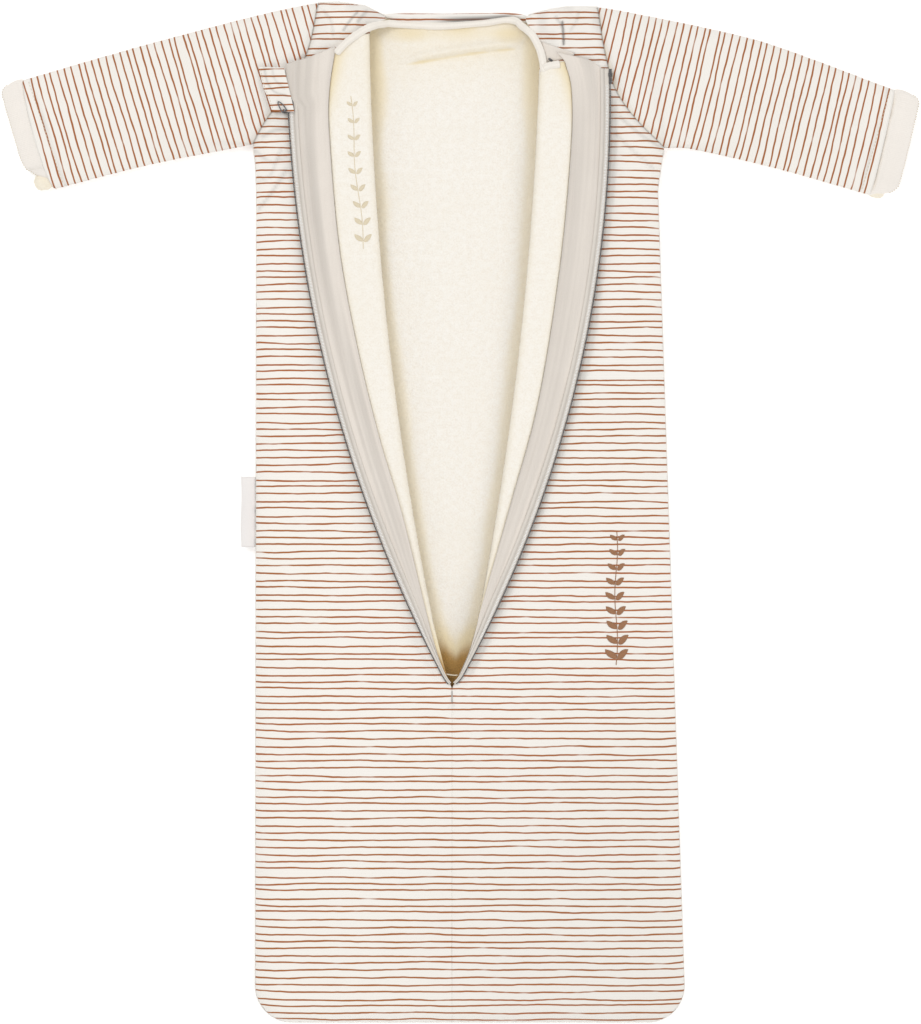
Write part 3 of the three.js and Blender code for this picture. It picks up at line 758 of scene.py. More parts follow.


# creases of the striped front: the points of each, its half width, its depth and how dark its painted shade is
CREASES = {
    "left": [
        ([(-91, 440), (-96, 434), (-103, 424)], 1.1, 1.0, 0.6),
        ([(-83, 441), (-90, 432)], 1.6, 0.8, 0.36),
        ([(-178, 267), (-167, 280), (-153, 301)], 1.5, 1.3, 0.3),
        ([(-174, 331), (-164, 336), (-152, 338)], 1.8, 1.2, 0.36),
        ([(-181, 318), (-168, 309), (-154, 312)], 1.6, 1.2, 0.26),
        ([(-178, 292), (-168, 296), (-158, 318)], 1.4, 1.0, 0.2),
        ([(-120, 441), (-114, 432), (-112, 420)], 1.5, 0.8, 0.22),
    ],
    "right": [
        ([(89.6, 431), (90.4, 422), (90.8, 412)], 1.0, 1.8, 1.25),
        ([(84, 436), (89, 428)], 1.2, 0.8, 0.35),
        ([(97, 404), (108, 399), (122, 397)], 1.2, 0.8, 0.3),
        ([(136, 333), (152, 318), (170, 303)], 1.4, 1.1, 0.2),
        ([(140, 348), (158, 333), (176, 322)], 1.6, 1.1, 0.24),
        ([(104, 441), (102, 432), (97, 424)], 1.4, 0.8, 0.2),
    ],
}
# the Y that the end of the zip leaves
ZIP_END = ([(-7.5, -153), (-7.5, -171)], [(-7.5, -165), (-10.6, -172)], [(-7.5, -165), (-4.6, -172)])


def make_front(side):
    s = side.sign
    nv, nu = 330, 84
    centre = resample([(side.tip[0], FOOT_Y), side.tip], 170)
    neck_line = spline([side.fold[-1], *side.front_neck[::-1], side.neck], 20)
    inner, outer = np.vstack([centre, side.fold[1:], neck_line[1:]]), outer_edge(side)
    foot, top = resample(foot_seam(side), nu), resample(shoulder_seam(side), nu)
    us, vs = clustered(nu, 0.8, 0.8), clustered(nv, 0.5, 0.3)
    plan = mirrored(side, coons(resample(inner, nv), resample(outer, nv), foot, top, us, vs))
    x, y = plan[..., 0], plan[..., 1]
    far_from = lambda line: distance(plan, mirrored(side, line))
    lower = np.vstack([foot_seam(side), side_seam(side)])
    d_seam = np.minimum(far_from(lower), far_from(shoulder_seam(side)) * 1.4)
    d_fold, d_arm = far_from(side.fold), far_from(armhole(side))
    beyond = s * x - out_at(side.zip, y)
    z = front_height(side, x, y, d_seam, d_fold, d_arm)
    z = np.minimum(z, FRONT_TOP + 0.15 + 1.6 * ease(0, 14, beyond - 2) + 2 * (y < TIP[1] - 6))
    # painted shade along the armhole seam
    shade = 0.75 * bell(d_arm, 1.0) * (y > side.armpit[1] - 2) + 0.12 * np.exp(-d_arm / 5)
    for points, wide, deep, dark in CREASES[side.name]:
        near = groove(x, y, points, wide)
        z = z - deep * near + 0.45 * deep * groove(x + 2.2 * wide, y + 1.2 * wide, points, wide * 1.2)
        # painted shade in the crease
        shade = shade + dark * near
    # the cloth sinks a little beside the flap that lies on it and gets a painted shadow there, with a narrow,
    # harder painted shadow at the right
    soft_painted_shadow, hard_painted_shadow, widest = (0.17, 0.0, 13.0) if side is LEFT else (0.14, 0.27, 9.0)
    along_flap = ease(TIP[1] - 4, TIP[1] + 30, y) * ease(side.chain_top + 6, side.chain_top - 20, y)
    shadow = lambda reach, power: bell(np.clip(beyond, 0, 99), reach, power) * (beyond > -4) * along_flap
    beside = shadow(widest + 3 * noise(y / 60, 0.0, 161 + s), 2)
    close = shadow(6.4 + 3.6 * noise(y / 70, 0.0, 167 + s), 8)
    z = z - 1.2 * beside
    shade = shade + soft_painted_shadow * beside * (0.75 + 0.8 * noise(y / 45, x / 14, 163 + s)) + hard_painted_shadow * close
    # painted shade: the lower front is painted a little darker, most of all at its right
    shade = shade + 0.03 * ease(-150, 160, x) + ease(-20, -450, y) * (0.015 + 0.085 * ease(-160, 190, x))
    # painted shade in soft patches towards the shoulders and the neck
    shade = shade + 0.1 * ease(392, 425, y) * np.clip(0.8 + 2.4 * noise(x / 8, y / 16, 165 + s), 0, 2)
    # painted shade in the Y-shaped creases below the end of the zip
    for points in ZIP_END:
        if s * (points[1][0] - TIP[0]) >= -0.01:
            near = groove(x, y, points, 0.6)
            z = z - 0.5 * near
            shade = shade + 0.25 * near
    wall = 0.7 + 4.2 * ease(0, 16, d_seam)
    turned = np.where(y > TIP[1] + 2, rounded(d_fold, 5), 1)
    low = z - 0.7 - (wall - 0.7) * np.clip(turned, 0.05, 1)
    front = slab(f"front_panel_{side.name}", plan, z, low, plan, [SHELL, PLUSH, PLUSH], shade)
    piece(front, "bag", "shell", *(f"front_{layer}_{side.name}" for layer in ("shell", "wadding", "lining")))


def make_seams():
    for side in SIDES:
        path = mirrored(side, side_seam(side))[::2]
        z = SEAM_Z + 0.4 + 0.5 * noise(path[:, 1] / 11, 0.0, 71 + side.sign)
        line = np.column_stack([path + [[side.sign * -0.2, 0]], z])
        seam = tube(f"side_seam_{side.name}_line", line, (1.0, 0.9), SEAM, 8)
        piece(seam, "bag", "shell", f"side_seam_{side.name}")
        over = resample(mirrored(side, shoulder_seam(side)), 60)
        line = np.column_stack([over, np.full(60, SEAM_Z + 0.4)])
        seam = tube(f"shoulder_seam_{side.name}_line", line, (0.9, 1.1), SEAM, 8)
        piece(seam, "bag", "shell", f"shoulder_seam_{side.name}")
    foot = whole_foot(240)
    z = SEAM_Z + 0.4 + 0.5 * noise(foot[:, 0] / 11, 0.0, 77)
    seam = tube("foot_seam_line", np.column_stack([foot + [[0, 0.2]], z]), (1.0, 0.9), SEAM, 8)
    piece(seam, "bag", "shell", "bottom_seam")


# ---- front flaps


def flap_top(y):
    """The upper face of a flap sinks to the front panel at the foot of the zip."""
    return FLAP_LOW + 0.9 + (FLAP_TOP - FLAP_LOW - 0.9) * ease(-156, -70, y)


def flap_foot(a, b, n):
    """The edge at the foot of a flap, between the starts of two lines."""
    return np.stack([np.linspace(a[0, 0], b[0, 0], n), np.full(n, FLAP_FOOT_Y)], 1)


def border_at(side, y, gap):
    """The line between plush and facing, kept between the fold and the zip."""
    return np.clip(out_at(side.border_line, y), out_at(side.fold, y) + 0.4, out_at(side.zip, y) - gap)


def make_flap(side):
    fold_up = slice_between(side.fold, FLAP_FOOT_Y, side.fold[-1, 1], FLAP_ROWS)
    make_flap_plush(side, fold_up)
    outer_y = np.linspace(FLAP_FOOT_Y, side.facing_top[-1][1], FLAP_ROWS)
    make_facing(side, outer_y)
    make_flap_cover(side, fold_up, outer_y)
    make_zip_half(side)


def make_flap_plush(side, fold_up):
    """Plush, from the rolled fold to the facing."""
    s, name, nv, nu = side.sign, side.name, FLAP_ROWS, 46
    border_top = side.plush_top[-1][1]
    y = np.linspace(FLAP_FOOT_Y, border_top, nv)
    border_up = resample(np.stack([border_at(side, y, 1.0), y], 1), nv)
    border_up[-1] = side.plush_top[-1]
    foot, top = flap_foot(fold_up, border_up, nu), spline(side.plush_top, nu)
    plan = mirrored(side, coons(fold_up, border_up, foot, top, us=clustered(nu, 0.85, 0)))
    x, y = plan[..., 0], plan[..., 1]
    d_fold, d_border = (distance(plan, mirrored(side, line)) for line in (fold_up, border_up))
    swell = 0.9 * soft(x, y, 83 + s, 0.8, 1.2) * ease(2, 14, d_border) * ease(-130, -30, y)
    swell += 0.8 * noise(y / 33, 0.0, 88 + s) * np.exp(-d_fold / 7)
    turned = rounded(d_fold, 5.5)
    top = FLAP_LOW + 0.35 + (flap_top(y) - FLAP_LOW - 0.35) * turned + swell * turned
    top -= 1.1 * bell(d_border, 2.2)
    top = np.maximum(top, FLAP_LOW + 0.6)
    # painted shade: the flap plush is painted a little darker overall, more by the fold, along the facing,
    # towards the top and deep at the foot
    shade = 0.07 + 0.12 * bell(d_fold, 4.0) + 0.25 * np.exp(-d_border / 2.0) + 0.06 * ease(310, 412, y)
    shade += 0.32 * bell(d_border, 9.0) * ease(330, 395, y) + 0.7 * ease(-95, -150, y)
    low = np.full_like(x, FLAP_LOW + 0.3)
    plush = slab(f"flap_plush_{name}", plan, top, low, plan, [PLUSH] * 3, shade)
    bent(plush, side, "plush", f"flap_lining_{name}", f"flap_wadding_{name}")


def make_facing(side, outer_y):
    """A smooth strip with soft lengthwise folds, from the plush to the zip tape."""
    s, name, nv, nu = side.sign, side.name, FLAP_ROWS, 30
    bare = ease(side.chain_top - 14, side.chain_top - 4, outer_y) * (side is LEFT)
    outer = out_at(side.zip, outer_y) - 0.8 - 6.4 * ease(-150, -80, outer_y) + 8.0 * bare
    outer = np.stack([outer, outer_y], 1)
    top_corner = side.facing_top[0]
    inner_y = np.linspace(FLAP_FOOT_Y, top_corner[1], nv)
    border_x, border_y = side.plush_top[-1]
    above = np.clip((inner_y - border_y) / (top_corner[1] - border_y), 0, 1)
    inner = border_at(side, inner_y, 1.2) - 0.3 + (top_corner[0] - border_x) * above
    inner = np.stack([inner, inner_y], 1)
    inner[-1] = top_corner
    facing_top = spline([*side.facing_top[:-1], tuple(outer[-1])], nu)
    foot = flap_foot(inner, outer, nu)
    plan = mirrored(side, coons(resample(inner, nv), resample(outer, nv), foot, facing_top))
    x, y = plan[..., 0], plan[..., 1]
    u = np.broadcast_to(np.linspace(0, 1, nu)[None], x.shape)
    t = np.linspace(0, 1, nv)[:, None]
    wide = np.clip(np.abs(plan[:, -1, 0] - plan[:, 0, 0])[:, None] / 34.0, 0, 1)
    wave = 0.85 * np.sin(2 * math.pi * (1.6 * u + 0.35 * np.sin(5 * t + s)) + 1.2) * wide
    wave += 1.6 * noise(u * 4.6, t * 5, 91 + s) * wide + 1.3 * noise(u * 10, t * 9, 92 + s) * wide
    wave += 0.9 * (bell(u - 0.8, 0.045) - 0.7 * bell(u - 0.71, 0.04)) * wide * ease(0.35, 0.6, t)
    top = flap_top(y) - 1.3 * u + wave * ease(0, 0.12, u) * ease(1, 0.86, u) + 0.5 * bell(u - 0.03, 0.05)
    top = np.maximum(top, FLAP_LOW + 0.75)
    # painted shade at the edge by the plush and in the soft lengthwise folds, a painted highlight on the ridge
    # near the zip, and more painted shade towards the top
    shade = 0.35 * bell(u, 0.06) + 0.08 * bell(u - 0.97, 0.04)
    painted_fold_shade = (0.95 if side is LEFT else 1.25) * noise(u * 3.4, t * 2.6, 93 + s)
    painted_fold_shade = painted_fold_shade + 0.3 * noise(u * 9, t * 4, 97 + s) + 0.18 * noise(u * 24, t * 7, 94 + s)
    shade = shade + painted_fold_shade * (0.35 + 0.65 * wide) + 0.16 - 0.2 * bell(u - 0.86, 0.09)
    shade = shade + 0.08 * ease(0.8, 1.0, t)
    facing = slab(f"facing_{name}", plan, top, top - 0.5, plan, [FACING] * 3, shade)
    bent(facing, side, "facing", f"flap_facing_{name}")


def make_flap_cover(side, fold_up, outer_y):
    """Striped shell under the flap."""
    name, nv, nu = side.name, FLAP_ROWS, 16
    outer = np.stack([out_at(side.zip, outer_y) - 0.6 - 2.4 * ease(-150, -90, outer_y), outer_y], 1)
    top_edge = [tuple(fold_up[-1]), *side.plush_top[1:-1], *side.facing_top[:-1], tuple(outer[-1])]
    foot = flap_foot(fold_up, outer, nu)
    plan = mirrored(side, coons(fold_up[::2], resample(outer, nv)[::2], foot, spline(top_edge, nu)))
    inset = distance(plan, mirrored(side, fold_up))
    low = np.full(inset.shape, FLAP_LOW)
    under = slab(f"flap_cover_{name}", plan, low + 0.28, low - 0.1 * ease(0, 4, inset), plan, [SHELL] * 3)
    bent(under, side, "shell", f"flap_shell_{name}")


def make_zip_half(side):
    s, name = side.sign, side.name
    top_y, y0 = side.chain_top, -152.0
    level = lambda y: 23.5 - 1.0 * ease(-90, -154, y)
    edge = slice_between(side.zip, y0, top_y + 14, 420)
    along = unit(np.gradient(edge, axis=0))
    inward = np.stack([-along[:, 1], along[:, 0]], 1)
    beside = lambda reach: mirrored(side, edge + inward * reach[:, None])

    # woven tape with a folded lip: distance from the teeth, height and painted shade of each of its threads
    grow = 0.35 + 0.65 * ease(-152, -70, edge[:, 1])
    cols = [0.9, 1.6, 3.0, 4.3, 4.8, 5.4, 6.6, 7.8, 8.6]
    raise_by = [0.1, 0.15, 0.2, 0.3, 0.25, 1.1, 2.3, 2.5, 1.7]
    crease = [0.3, 0.1, 0, 0.1, 0.7, 0.3, 0, 0, 0.2]
    z0 = level(edge[:, 1])
    plan = np.stack([beside(c * grow) for c in cols], 1)
    up = [z0 + r * grow + 0.25 * noise(edge[:, 1] / 24, c, 95 + s) for c, r in zip(cols, raise_by)]
    up = np.stack(up, 1)
    run = run_along(edge)
    uv = np.stack(np.broadcast_arrays(np.array(cols)[None], run[:, None]), -1)
    crease = np.broadcast_to(np.array(crease)[None], up.shape)
    tape = slab(f"zip_tape_{name}_weave", plan, up + 0.3, up - 0.3, uv, [TAPE] * 3, crease)
    bent(tape, side, "zip_tape", f"zip_tape_{name}")

    # the light rungs of the coil beside the dark edge of the teeth
    row = np.column_stack([beside(2.75 * grow), z0 + 0.75])
    row = row[(edge[:, 1] > -112) & (edge[:, 1] < top_y)]
    row = resample(row, int(step_lengths(row).sum() / RUNG_PITCH))
    rung, faces = bead(0.95, 2.7, 1.0, 4, 8)
    bent(repeated(f"zip_rungs_{name}", rung, faces, row, np.gradient(row, axis=0), RUNGS), side, "zip_chain")

    # teeth, one by one, each a block with a narrower top, and the cord that they sit on
    chain = slice_between(side.zip, y0 + 1, top_y, 900)
    at = resample(chain, int(length_of(chain) / TOOTH_PITCH))
    direction = mirrored(side, np.gradient(at, axis=0))
    on_edge = lambda line: np.column_stack([mirrored(side, line), level(line[:, 1])])
    a, w, h = 0.46, 0.58, 0.8
    shape = [(i * a * k, j * w * l, z) for k, l, z in ((1, 1, -h * 0.6), (1, 1, h * 0.6), (0.6, 0.8, h))
             for i, j in ((-1, -1), (1, -1), (1, 1), (-1, 1))]
    faces = [[0, 3, 2, 1], [0, 1, 5, 4], [1, 2, 6, 5], [2, 3, 7, 6], [3, 0, 4, 7],
             [4, 5, 9, 8], [5, 6, 10, 9], [6, 7, 11, 10], [7, 4, 8, 11], [8, 9, 10, 11]]
    direction = np.column_stack([direction, direction[:, 0] * 0])
    teeth = repeated(f"zip_teeth_{name}", shape, faces, on_edge(at), direction, TEETH)
    bent(teeth, side, "zip_chain", f"zip_chain_{name}", f"zip_chain_foot_{name}")
    bent(tube(f"zip_cord_{name}", on_edge(resample(chain, 260)), (0.38, 0.5), TEETH, 6), side, "zip_chain")


# ---- sleeves and cuffs


def loop_tube(name, plan, top, low, wall, uv, materials, painted_shade=None):
    """An open, flattened tube with a wall. plan's first direction is across it, and its second along it."""
    across, along = plan.shape[:2]
    mid = (plan[:1] + plan[-1:]) / 2
    width = np.linalg.norm(plan[-1] - plan[0], axis=1)[None, :, None]
    within = mid + (plan - mid) * (1 - 2 * wall / width)
    centre = (top + low) / 2
    top_in, low_in = np.maximum(top - wall, centre + 0.12), np.minimum(low + wall, centre - 0.12)

    def loop(xy, a, b):
        upper = np.concatenate([xy, a[..., None]], -1)
        lower = np.concatenate([xy, b[..., None]], -1)[::-1]
        return np.concatenate([upper, lower]).transpose(1, 0, 2)

    outer, inner = loop(plan, top, low), loop(within, top_in, low_in)
    ring = 2 * across
    n = along * ring
    points = np.vstack([outer.reshape(-1, 3), inner.reshape(-1, 3)])
    coords = np.concatenate([uv, uv[::-1]]).transpose(1, 0, 2).reshape(-1, 2)
    a = quads(along, ring, closed=True)
    b = quads(along, ring, closed=True, start=n)[:, ::-1]
    i = np.arange(ring)
    k = (i + 1) % ring
    start = np.stack([k, i, i + n, k + n], -1)
    last = (along - 1) * ring
    end = np.stack([i + last, k + last, k + last + n, i + last + n], -1)
    faces = np.vstack([a, b, start, end])
    index = np.concatenate([np.zeros(len(a)), np.ones(len(b) + 2 * ring)])
    shade = None
    if painted_shade is not None:
        shade = np.concatenate([np.concatenate([painted_shade, painted_shade[::-1] * 0]).T.ravel(), np.zeros(n)])
    return outward(mesh_object(name, points, faces, np.vstack([coords, coords]), materials, index, shade))


def outwards(side):
    """Direction in which the sleeve leaves the wrist line."""
    up = np.array(side.wrist_top) - np.array(side.wrist_foot)
    up /= np.linalg.norm(up)
    return np.array([up[1], -up[0]])


def make_sleeve(side):
    s, name = side.sign, side.name
    nv, nu = 70, 190
    arm, axis = armhole(side), outwards(side)
    t = np.linspace(0, 1, nv)
    wrist = resample([side.wrist_foot, side.wrist_top], nv)
    wrist += axis * (side.hem_reach * np.sin(math.pi * t) ** 0.45 * (1.15 - 0.3 * t))[:, None]
    foot = spline([side.armpit, *side.sleeve_foot[::-1], side.wrist_foot], nu)
    top = spline([side.shoulder, (158, side.shoulder[1] - 6.5), *side.sleeve_top, side.wrist_top], nu)
    flat = coons(resample(arm, nv), wrist, foot, top, clustered(nu, 0.5, 0), clustered(nv, 0.8, 0.8))
    out, y = flat[..., 0], flat[..., 1]
    d_edge = np.minimum(distance(flat, foot), distance(flat, top))
    d_arm = distance(flat, arm)
    high = np.interp(out, [120, 186, 372], [20.5, 18, 13])
    runs = flat @ axis
    across = flat @ np.array([-axis[1], axis[0]])
    from_wrist = runs - np.array(side.wrist_foot) @ axis
    crease = 1.3 * ridges(runs, across, 86, 70, 30, 101 + s) * (0.5 + 0.9 * np.exp(-d_arm / 60))
    crease += 0.5 * noise(runs / 14, across / 19, 105 + s)
    # folds that come out of the armpit
    ax, ay = side.armpit
    bearing, far = np.degrees(np.arctan2(y - ay, out - ax + 1e-6)), np.hypot(out - ax, y - ay)
    fan = noise(bearing / 14, 0.0, 107 + s)
    crease += 2.4 * fan * np.exp(-far / 55) * ease(2, 16, far)
    crease *= ease(1, 16, d_edge)
    crease += 1.3 * noise(runs / 9.5, 0.0, 109 + s) * np.exp(-d_edge / 5)
    profile = rounded(d_edge, np.clip(high * 1.05, 8, 22))
    middle = high * 0.5 - 1.2 * ease(186, 120, out)
    top_z = middle + 0.5 + (high - middle - 0.5) * profile + crease * ease(0, 10, np.abs(from_wrist))
    top_z -= 2.4 * bell(d_arm, 3.2) + 0.8 * np.exp(-d_arm / 9)
    low_z = middle - 0.5 - (middle - 0.75) * rounded(d_edge, np.clip(high * 0.6, 6, 14))
    hem = np.abs(from_wrist + 9.5 - 4.0 * np.linspace(0, 1, nv)[:, None])
    top_z -= 0.7 * bell(hem, 1.4)
    # painted shade: a little over the whole sleeve, in the fold at the hem, in the folds from the armpit and
    # along the armhole seam
    shade = 0.055 + 0.4 * bell(hem, 1.5) * (0.6 + noise(across / 18, runs / 30, 111 + s))
    shade += 0.16 * np.clip(fan, 0, 1) * 2 * np.exp(-far / 40)
    shade += 0.45 * bell(d_arm, 0.8) + 0.1 * np.exp(-d_arm / 4)
    plan, uv = mirrored(side, flat), np.stack([across, runs], -1)
    cloth = loop_tube(f"sleeve_{name}_cloth", plan, top_z, low_z, 2.2, uv, [SHELL, PLUSH], shade)
    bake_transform(cloth)
    mark(cloth, "shell", f"sleeve_cap_{name}", f"sleeve_shell_{name}", f"sleeve_lining_{name}")

    # hem stitches, a little further from the end at the foot of the sleeve
    t = np.linspace(0.04, 0.96, 60)[:, None]
    ends = np.array(side.wrist_foot)[None] * (1 - t) + np.array(side.wrist_top)[None] * t
    row = mirrored(side, ends - axis * (8.0 - 4.0 * t))
    row = np.column_stack([row, surface_z(cloth, row) + 0.12])
    seam = stitches(f"sleeve_{name}_hem_stitches", row, 3.2, 2.3, 0.5, PALE_THREAD, 0.35)
    piece(seam, f"sleeve_{name}", "thread")


def make_cuff(side):
    s, name = side.sign, side.name
    foot, top = np.array(side.wrist_foot, float), np.array(side.wrist_top, float)
    out = outwards(side)
    up = np.array([-out[1], out[0]])
    width = float(np.linalg.norm(top - foot))
    nv, nu = 84, 30
    vs = clustered(nv, 0.85, 0.85)[:, None]
    t = np.linspace(0, 1, nu)[None]
    edge = np.minimum(vs, 1 - vs) * width
    rounding = 8.5 * (1 - rounded(edge, 9.0))
    uneven = 0.5 * noise(vs * 15, 0.0, 121 + s)
    length = side.cuff - rounding + uneven - side.cuff_taper * ease(0.36, 0.0, vs)
    go = -2.2 + (length + 2.2) * t
    belly = 1.8 * np.sin(math.pi * np.clip(t * 1.05, 0, 1)) * np.where(vs < 0.5, -1, 1) * ease(14, 0, edge)
    neck = -1.0 * ease(0.22, 0.0, t) * np.where(vs < 0.5, -1, 1) * ease(20, 0, edge)
    lift = (side.cuff_lift + 0.25 * go) * ease(0.28, 0.0, vs) * ease(-1, 5, go)
    plan = foot + up * (vs * width + belly + neck + lift)[..., None] + out * go[..., None]
    high = 11.6 - 1.2 * bell(go - 1.0, 1.6) + 0.9 * bell(go - 4.6, 2.2)
    high = high + 0.7 * noise(vs * 13, go / 9 + 3, 123 + s) + 0.6 * noise(vs * 30, 2.0, 124 + s)
    middle = 6.0
    turned = rounded(edge + 0.01, 7.0)
    end = 0.35 + 0.65 * rounded(length - go + 0.01, 9.0)
    top_z = middle + 0.6 + (high - middle - 0.6) * turned * end
    low_z = middle - 0.6 - (middle - 1.5) * turned * end
    uv = np.stack([vs * width + 0 * go, go + 0 * vs], -1)
    cloth = loop_tube(f"cuff_{name}_cloth", mirrored(side, plan), top_z, low_z, 1.3, uv, [CUFF, PLUSH])

    # the fleecy lining peeps out at the lower corner, with painted shade all over it
    go_at, up_at, long, wide = side.cuff_peep
    shape, faces = bead(2.0, 2.0, 2.0, 18, 28)
    fuzz = 1 + 0.1 * noise(shape[:, 0] * 5 + 9, shape[:, 1] * 5 + 9, 127 + s)
    fuzz = fuzz + 0.06 * noise(shape[:, 0] * 11, shape[:, 1] * 11, 128 + s)
    a, b, c = (shape[:, k] * fuzz for k in range(3))
    at = foot + out * (go_at + a * long)[:, None] + up * (up_at + b * wide)[:, None]
    points = np.column_stack([mirrored(side, at), 5.8 + c * 3.9])
    dark = np.full(len(points), 0.24)
    peep = outward(mesh_object(f"cuff_{name}_lining_peep", points, faces, points[:, :2], [PLUSH], None, dark))

    # picot edge round the mouth
    mouth = np.column_stack([mirrored(side, plan[2:-2, -1] + out * 0.1), top_z[2:-2, -1]])
    picot = stitches(f"cuff_{name}_picot", mouth, 2.3, 1.3, 1.0, PALE_THREAD, 0.8)

    wrist = [mirrored(side, (foot + top) / 2 + out * reach) * MM for reach in (-0.5, 6.5)]
    start, end = ((x, y, 0.0135) for x, y in wrist)
    for o in (cloth, peep, picot):
        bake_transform(o)
    mark(cloth, "binding", f"cuff_{name}", f"cuff_lining_{name}")
    mark(peep, "plush")
    mark(picot, "thread")


# ---- neck, trim and decoration


def surface_z(o, xy):
    """Height of a piece's upper face at plan points, in millimetres."""
    mesh = o.data
    tree = BVHTree.FromPolygons([v.co for v in mesh.vertices], [tuple(p.vertices) for p in mesh.polygons])
    hits = [tree.ray_cast(Vector((x * MM, y * MM, 0.1)), -Vector(UP))[0] for x, y in np.asarray(xy)]
    found = np.array([np.nan if hit is None else hit.z / MM for hit in hits])
    known = ~np.isnan(found)
    return np.interp(np.arange(len(found)), np.flatnonzero(known), found[known])


NECK = [
    (-93.4, 417.9, 27.0), (-84, 424, 26.2), (-77.9, 426.8, 24.6), (-70, 429.4, 18), (-62.5, 431, 11.5),
    (-50, 430.6, 8.4), (-18, 429.4, 7.6), (18.9, 432.1, 7.6), (38.3, 434.7, 8.0), (48.4, 433.4, 10.5),
    (54.1, 428.1, 16), (59.5, 423, 22), (63.8, 418.4, 24), (69.5, 407.4, 24.2), (72.2, 397.3, 24.8),
    (73.0, 390, 25.8), (73.6, 386.6, 26.4),
]
FLAP_ROLLS = {
    "left": [(-109.5, 402.5, 27.2), (-104.5, 408.2, 27.4), (-98.6, 413.8, 27.4), (-89.2, 421.0, 26.9)],
    "right": [(72.8, 389.6, 26.6), (76.5, 391.6, 27.0), (81.5, 392.6, 27.2), (87.5, 393.6, 27.0)],
}


def roll(name, points, body, nodes, seed):
    """A rolled binding along a line."""
    path = spline(points, max(24, int(len(points) * 14)))
    n = len(path)
    run = np.linspace(0, 1, n) * n
    across = 3.3 + 0.35 * noise(run / 7, 0.0, seed)
    tall = 2.1 + 0.25 * noise(run / 6, 3.0, seed)
    ends = np.minimum(1, 0.45 + np.minimum(np.arange(n), np.arange(n)[::-1]) / 5)
    o = tube(name, path, np.column_stack([across * ends, tall * ends]), BINDING, 16)
    piece(o, body, "binding", *nodes)


def between(a, b, n):
    """Plan grid of n rows from line a to line b."""
    return np.stack([a * (1 - t) + b * t for t in np.linspace(0, 1, n)], 0)


def make_neck():
    roll("neck_roll", NECK, "bag", [f"neck_binding_{part}" for part in ("back", "left", "right")], 131)
    for name, points in FLAP_ROLLS.items():
        roll(f"flap_{name}_roll", points, f"flap_{name}", [f"flap_binding_{name}"], 133)
    # striped band that stands up behind the back of the neck, with painted shade along its inner edge in the
    # gap under the roll
    inner = [(-66, 436), (-50, 433.2), (-18, 432), (19, 434), (38, 436.3), (50, 435.4), (58, 431.5)]
    outer = [(-68, 439.6), (-50, 440.2), (-18, 440.0), (19, 440.4), (38, 440.6), (50, 440.0), (62, 437.6)]
    plan = between(spline(inner, 70), spline(outer, 70), 9)
    t = np.linspace(0, 1, 9)[:, None]
    top = 8.6 + 2.2 * np.sin(math.pi * t * 0.9) + 0.5 * noise(plan[..., 0] / 16, plan[..., 1] / 9, 137)
    # painted shade in the gap under the roll
    gap = ease(0.85, 0.25, t) * (0.15 + 0.85 * ease(-30, 0, plan[..., 0]) * ease(58, 40, plan[..., 0]))
    band = slab("neck_band_cloth", plan, top, top - 1.0 - 1.2 * np.sin(math.pi * t), plan, [SHELL] * 3, gap)
    piece(band, "bag", "shell", "neck_band")


def make_label():
    nv, nu = 40, 14
    y = np.linspace(-31, 31, nv)[:, None]
    u = np.linspace(0, 1, nu)[None]
    x = -181.2 - 12.4 * u + 0.35 * np.sin(y / 9) * u
    plan = np.stack(np.broadcast_arrays(x, y + 0 * u), -1)
    lift = 9.0 + 0.9 * np.sin(math.pi * u * 0.9) + 0.7 * noise(y / 20, u * 2, 141) * u
    hem = 0.25 * (np.abs(np.abs(y) - 29.6) < 0.8)
    round_it = rounded((1 - u) * 12.4 + 0.02, 0.9)
    top, low = lift + 0.55 * round_it + hem, lift - 0.5 * round_it
    label = slab("side_label_cloth", plan, top, low, plan, [LABEL] * 3)
    piece(label, "bag", "label", "side_label")


def satin(name, rows, material, body, surface, lift=0.2, thick=0.75):
    """Satin-stitched embroidery. rows are (x, y, angle in degrees, length) of single stitches."""
    rows = np.array(rows, float)
    shape, faces = bead(1.0, 1.0, 1.0)
    heights = surface_z(surface, rows[:, :2]) + lift
    points = []
    for (x, y, _, length), turn, height in zip(rows, np.radians(rows[:, 2]), heights):
        c, s = math.cos(turn), math.sin(turn)
        lx, ly, lz = shape[:, 0] * length, shape[:, 1] * thick, shape[:, 2] * thick * 0.9
        points.append(np.column_stack([x + lx * c - ly * s, y + lx * s + ly * c, height + lz]))
    uv = np.tile(shape[:, :2] * 3, (len(rows), 1))
    o = outward(mesh_object(name, np.vstack(points), copied(faces, len(shape), len(rows)), uv, [material]))
    return piece(o, body, "thread")


def sprig(x0, y0, x1, y1, leaf, wide, lean):
    """A plain running sprig: a wavy stem and paired leaves that get smaller towards its top."""
    rows = []
    n = int(abs(y1 - y0) / 1.15)
    stem = lambda t: (x0 + (x1 - x0) * t + 1.2 * math.sin(t * 9), y0 + (y1 - y0) * t)
    for i in range(n):
        x, y = stem(i / n)
        rows.append((x, y, 90 + 14 * math.cos(i * 0.2), 1.7))
    pairs = 9
    for p in range(pairs):
        t = (p + 0.35) / pairs
        x, y = stem(t)
        size = leaf * (1.12 - 0.5 * t)
        for hand in (-1, 1):
            turn = math.radians(90 - hand * lean)
            for k in range(int(size / 0.52)):
                u = (k + 0.5) / int(size / 0.52)
                reach = 1.0 + size * u
                cx, cy = x + reach * math.cos(turn), y + reach * math.sin(turn)
                half = wide * (1.1 - 0.4 * t) * math.sin(math.pi * u ** 0.8) ** 0.7
                rows.append((cx, cy, math.degrees(turn) + 68, max(half, 0.8)))
    return rows


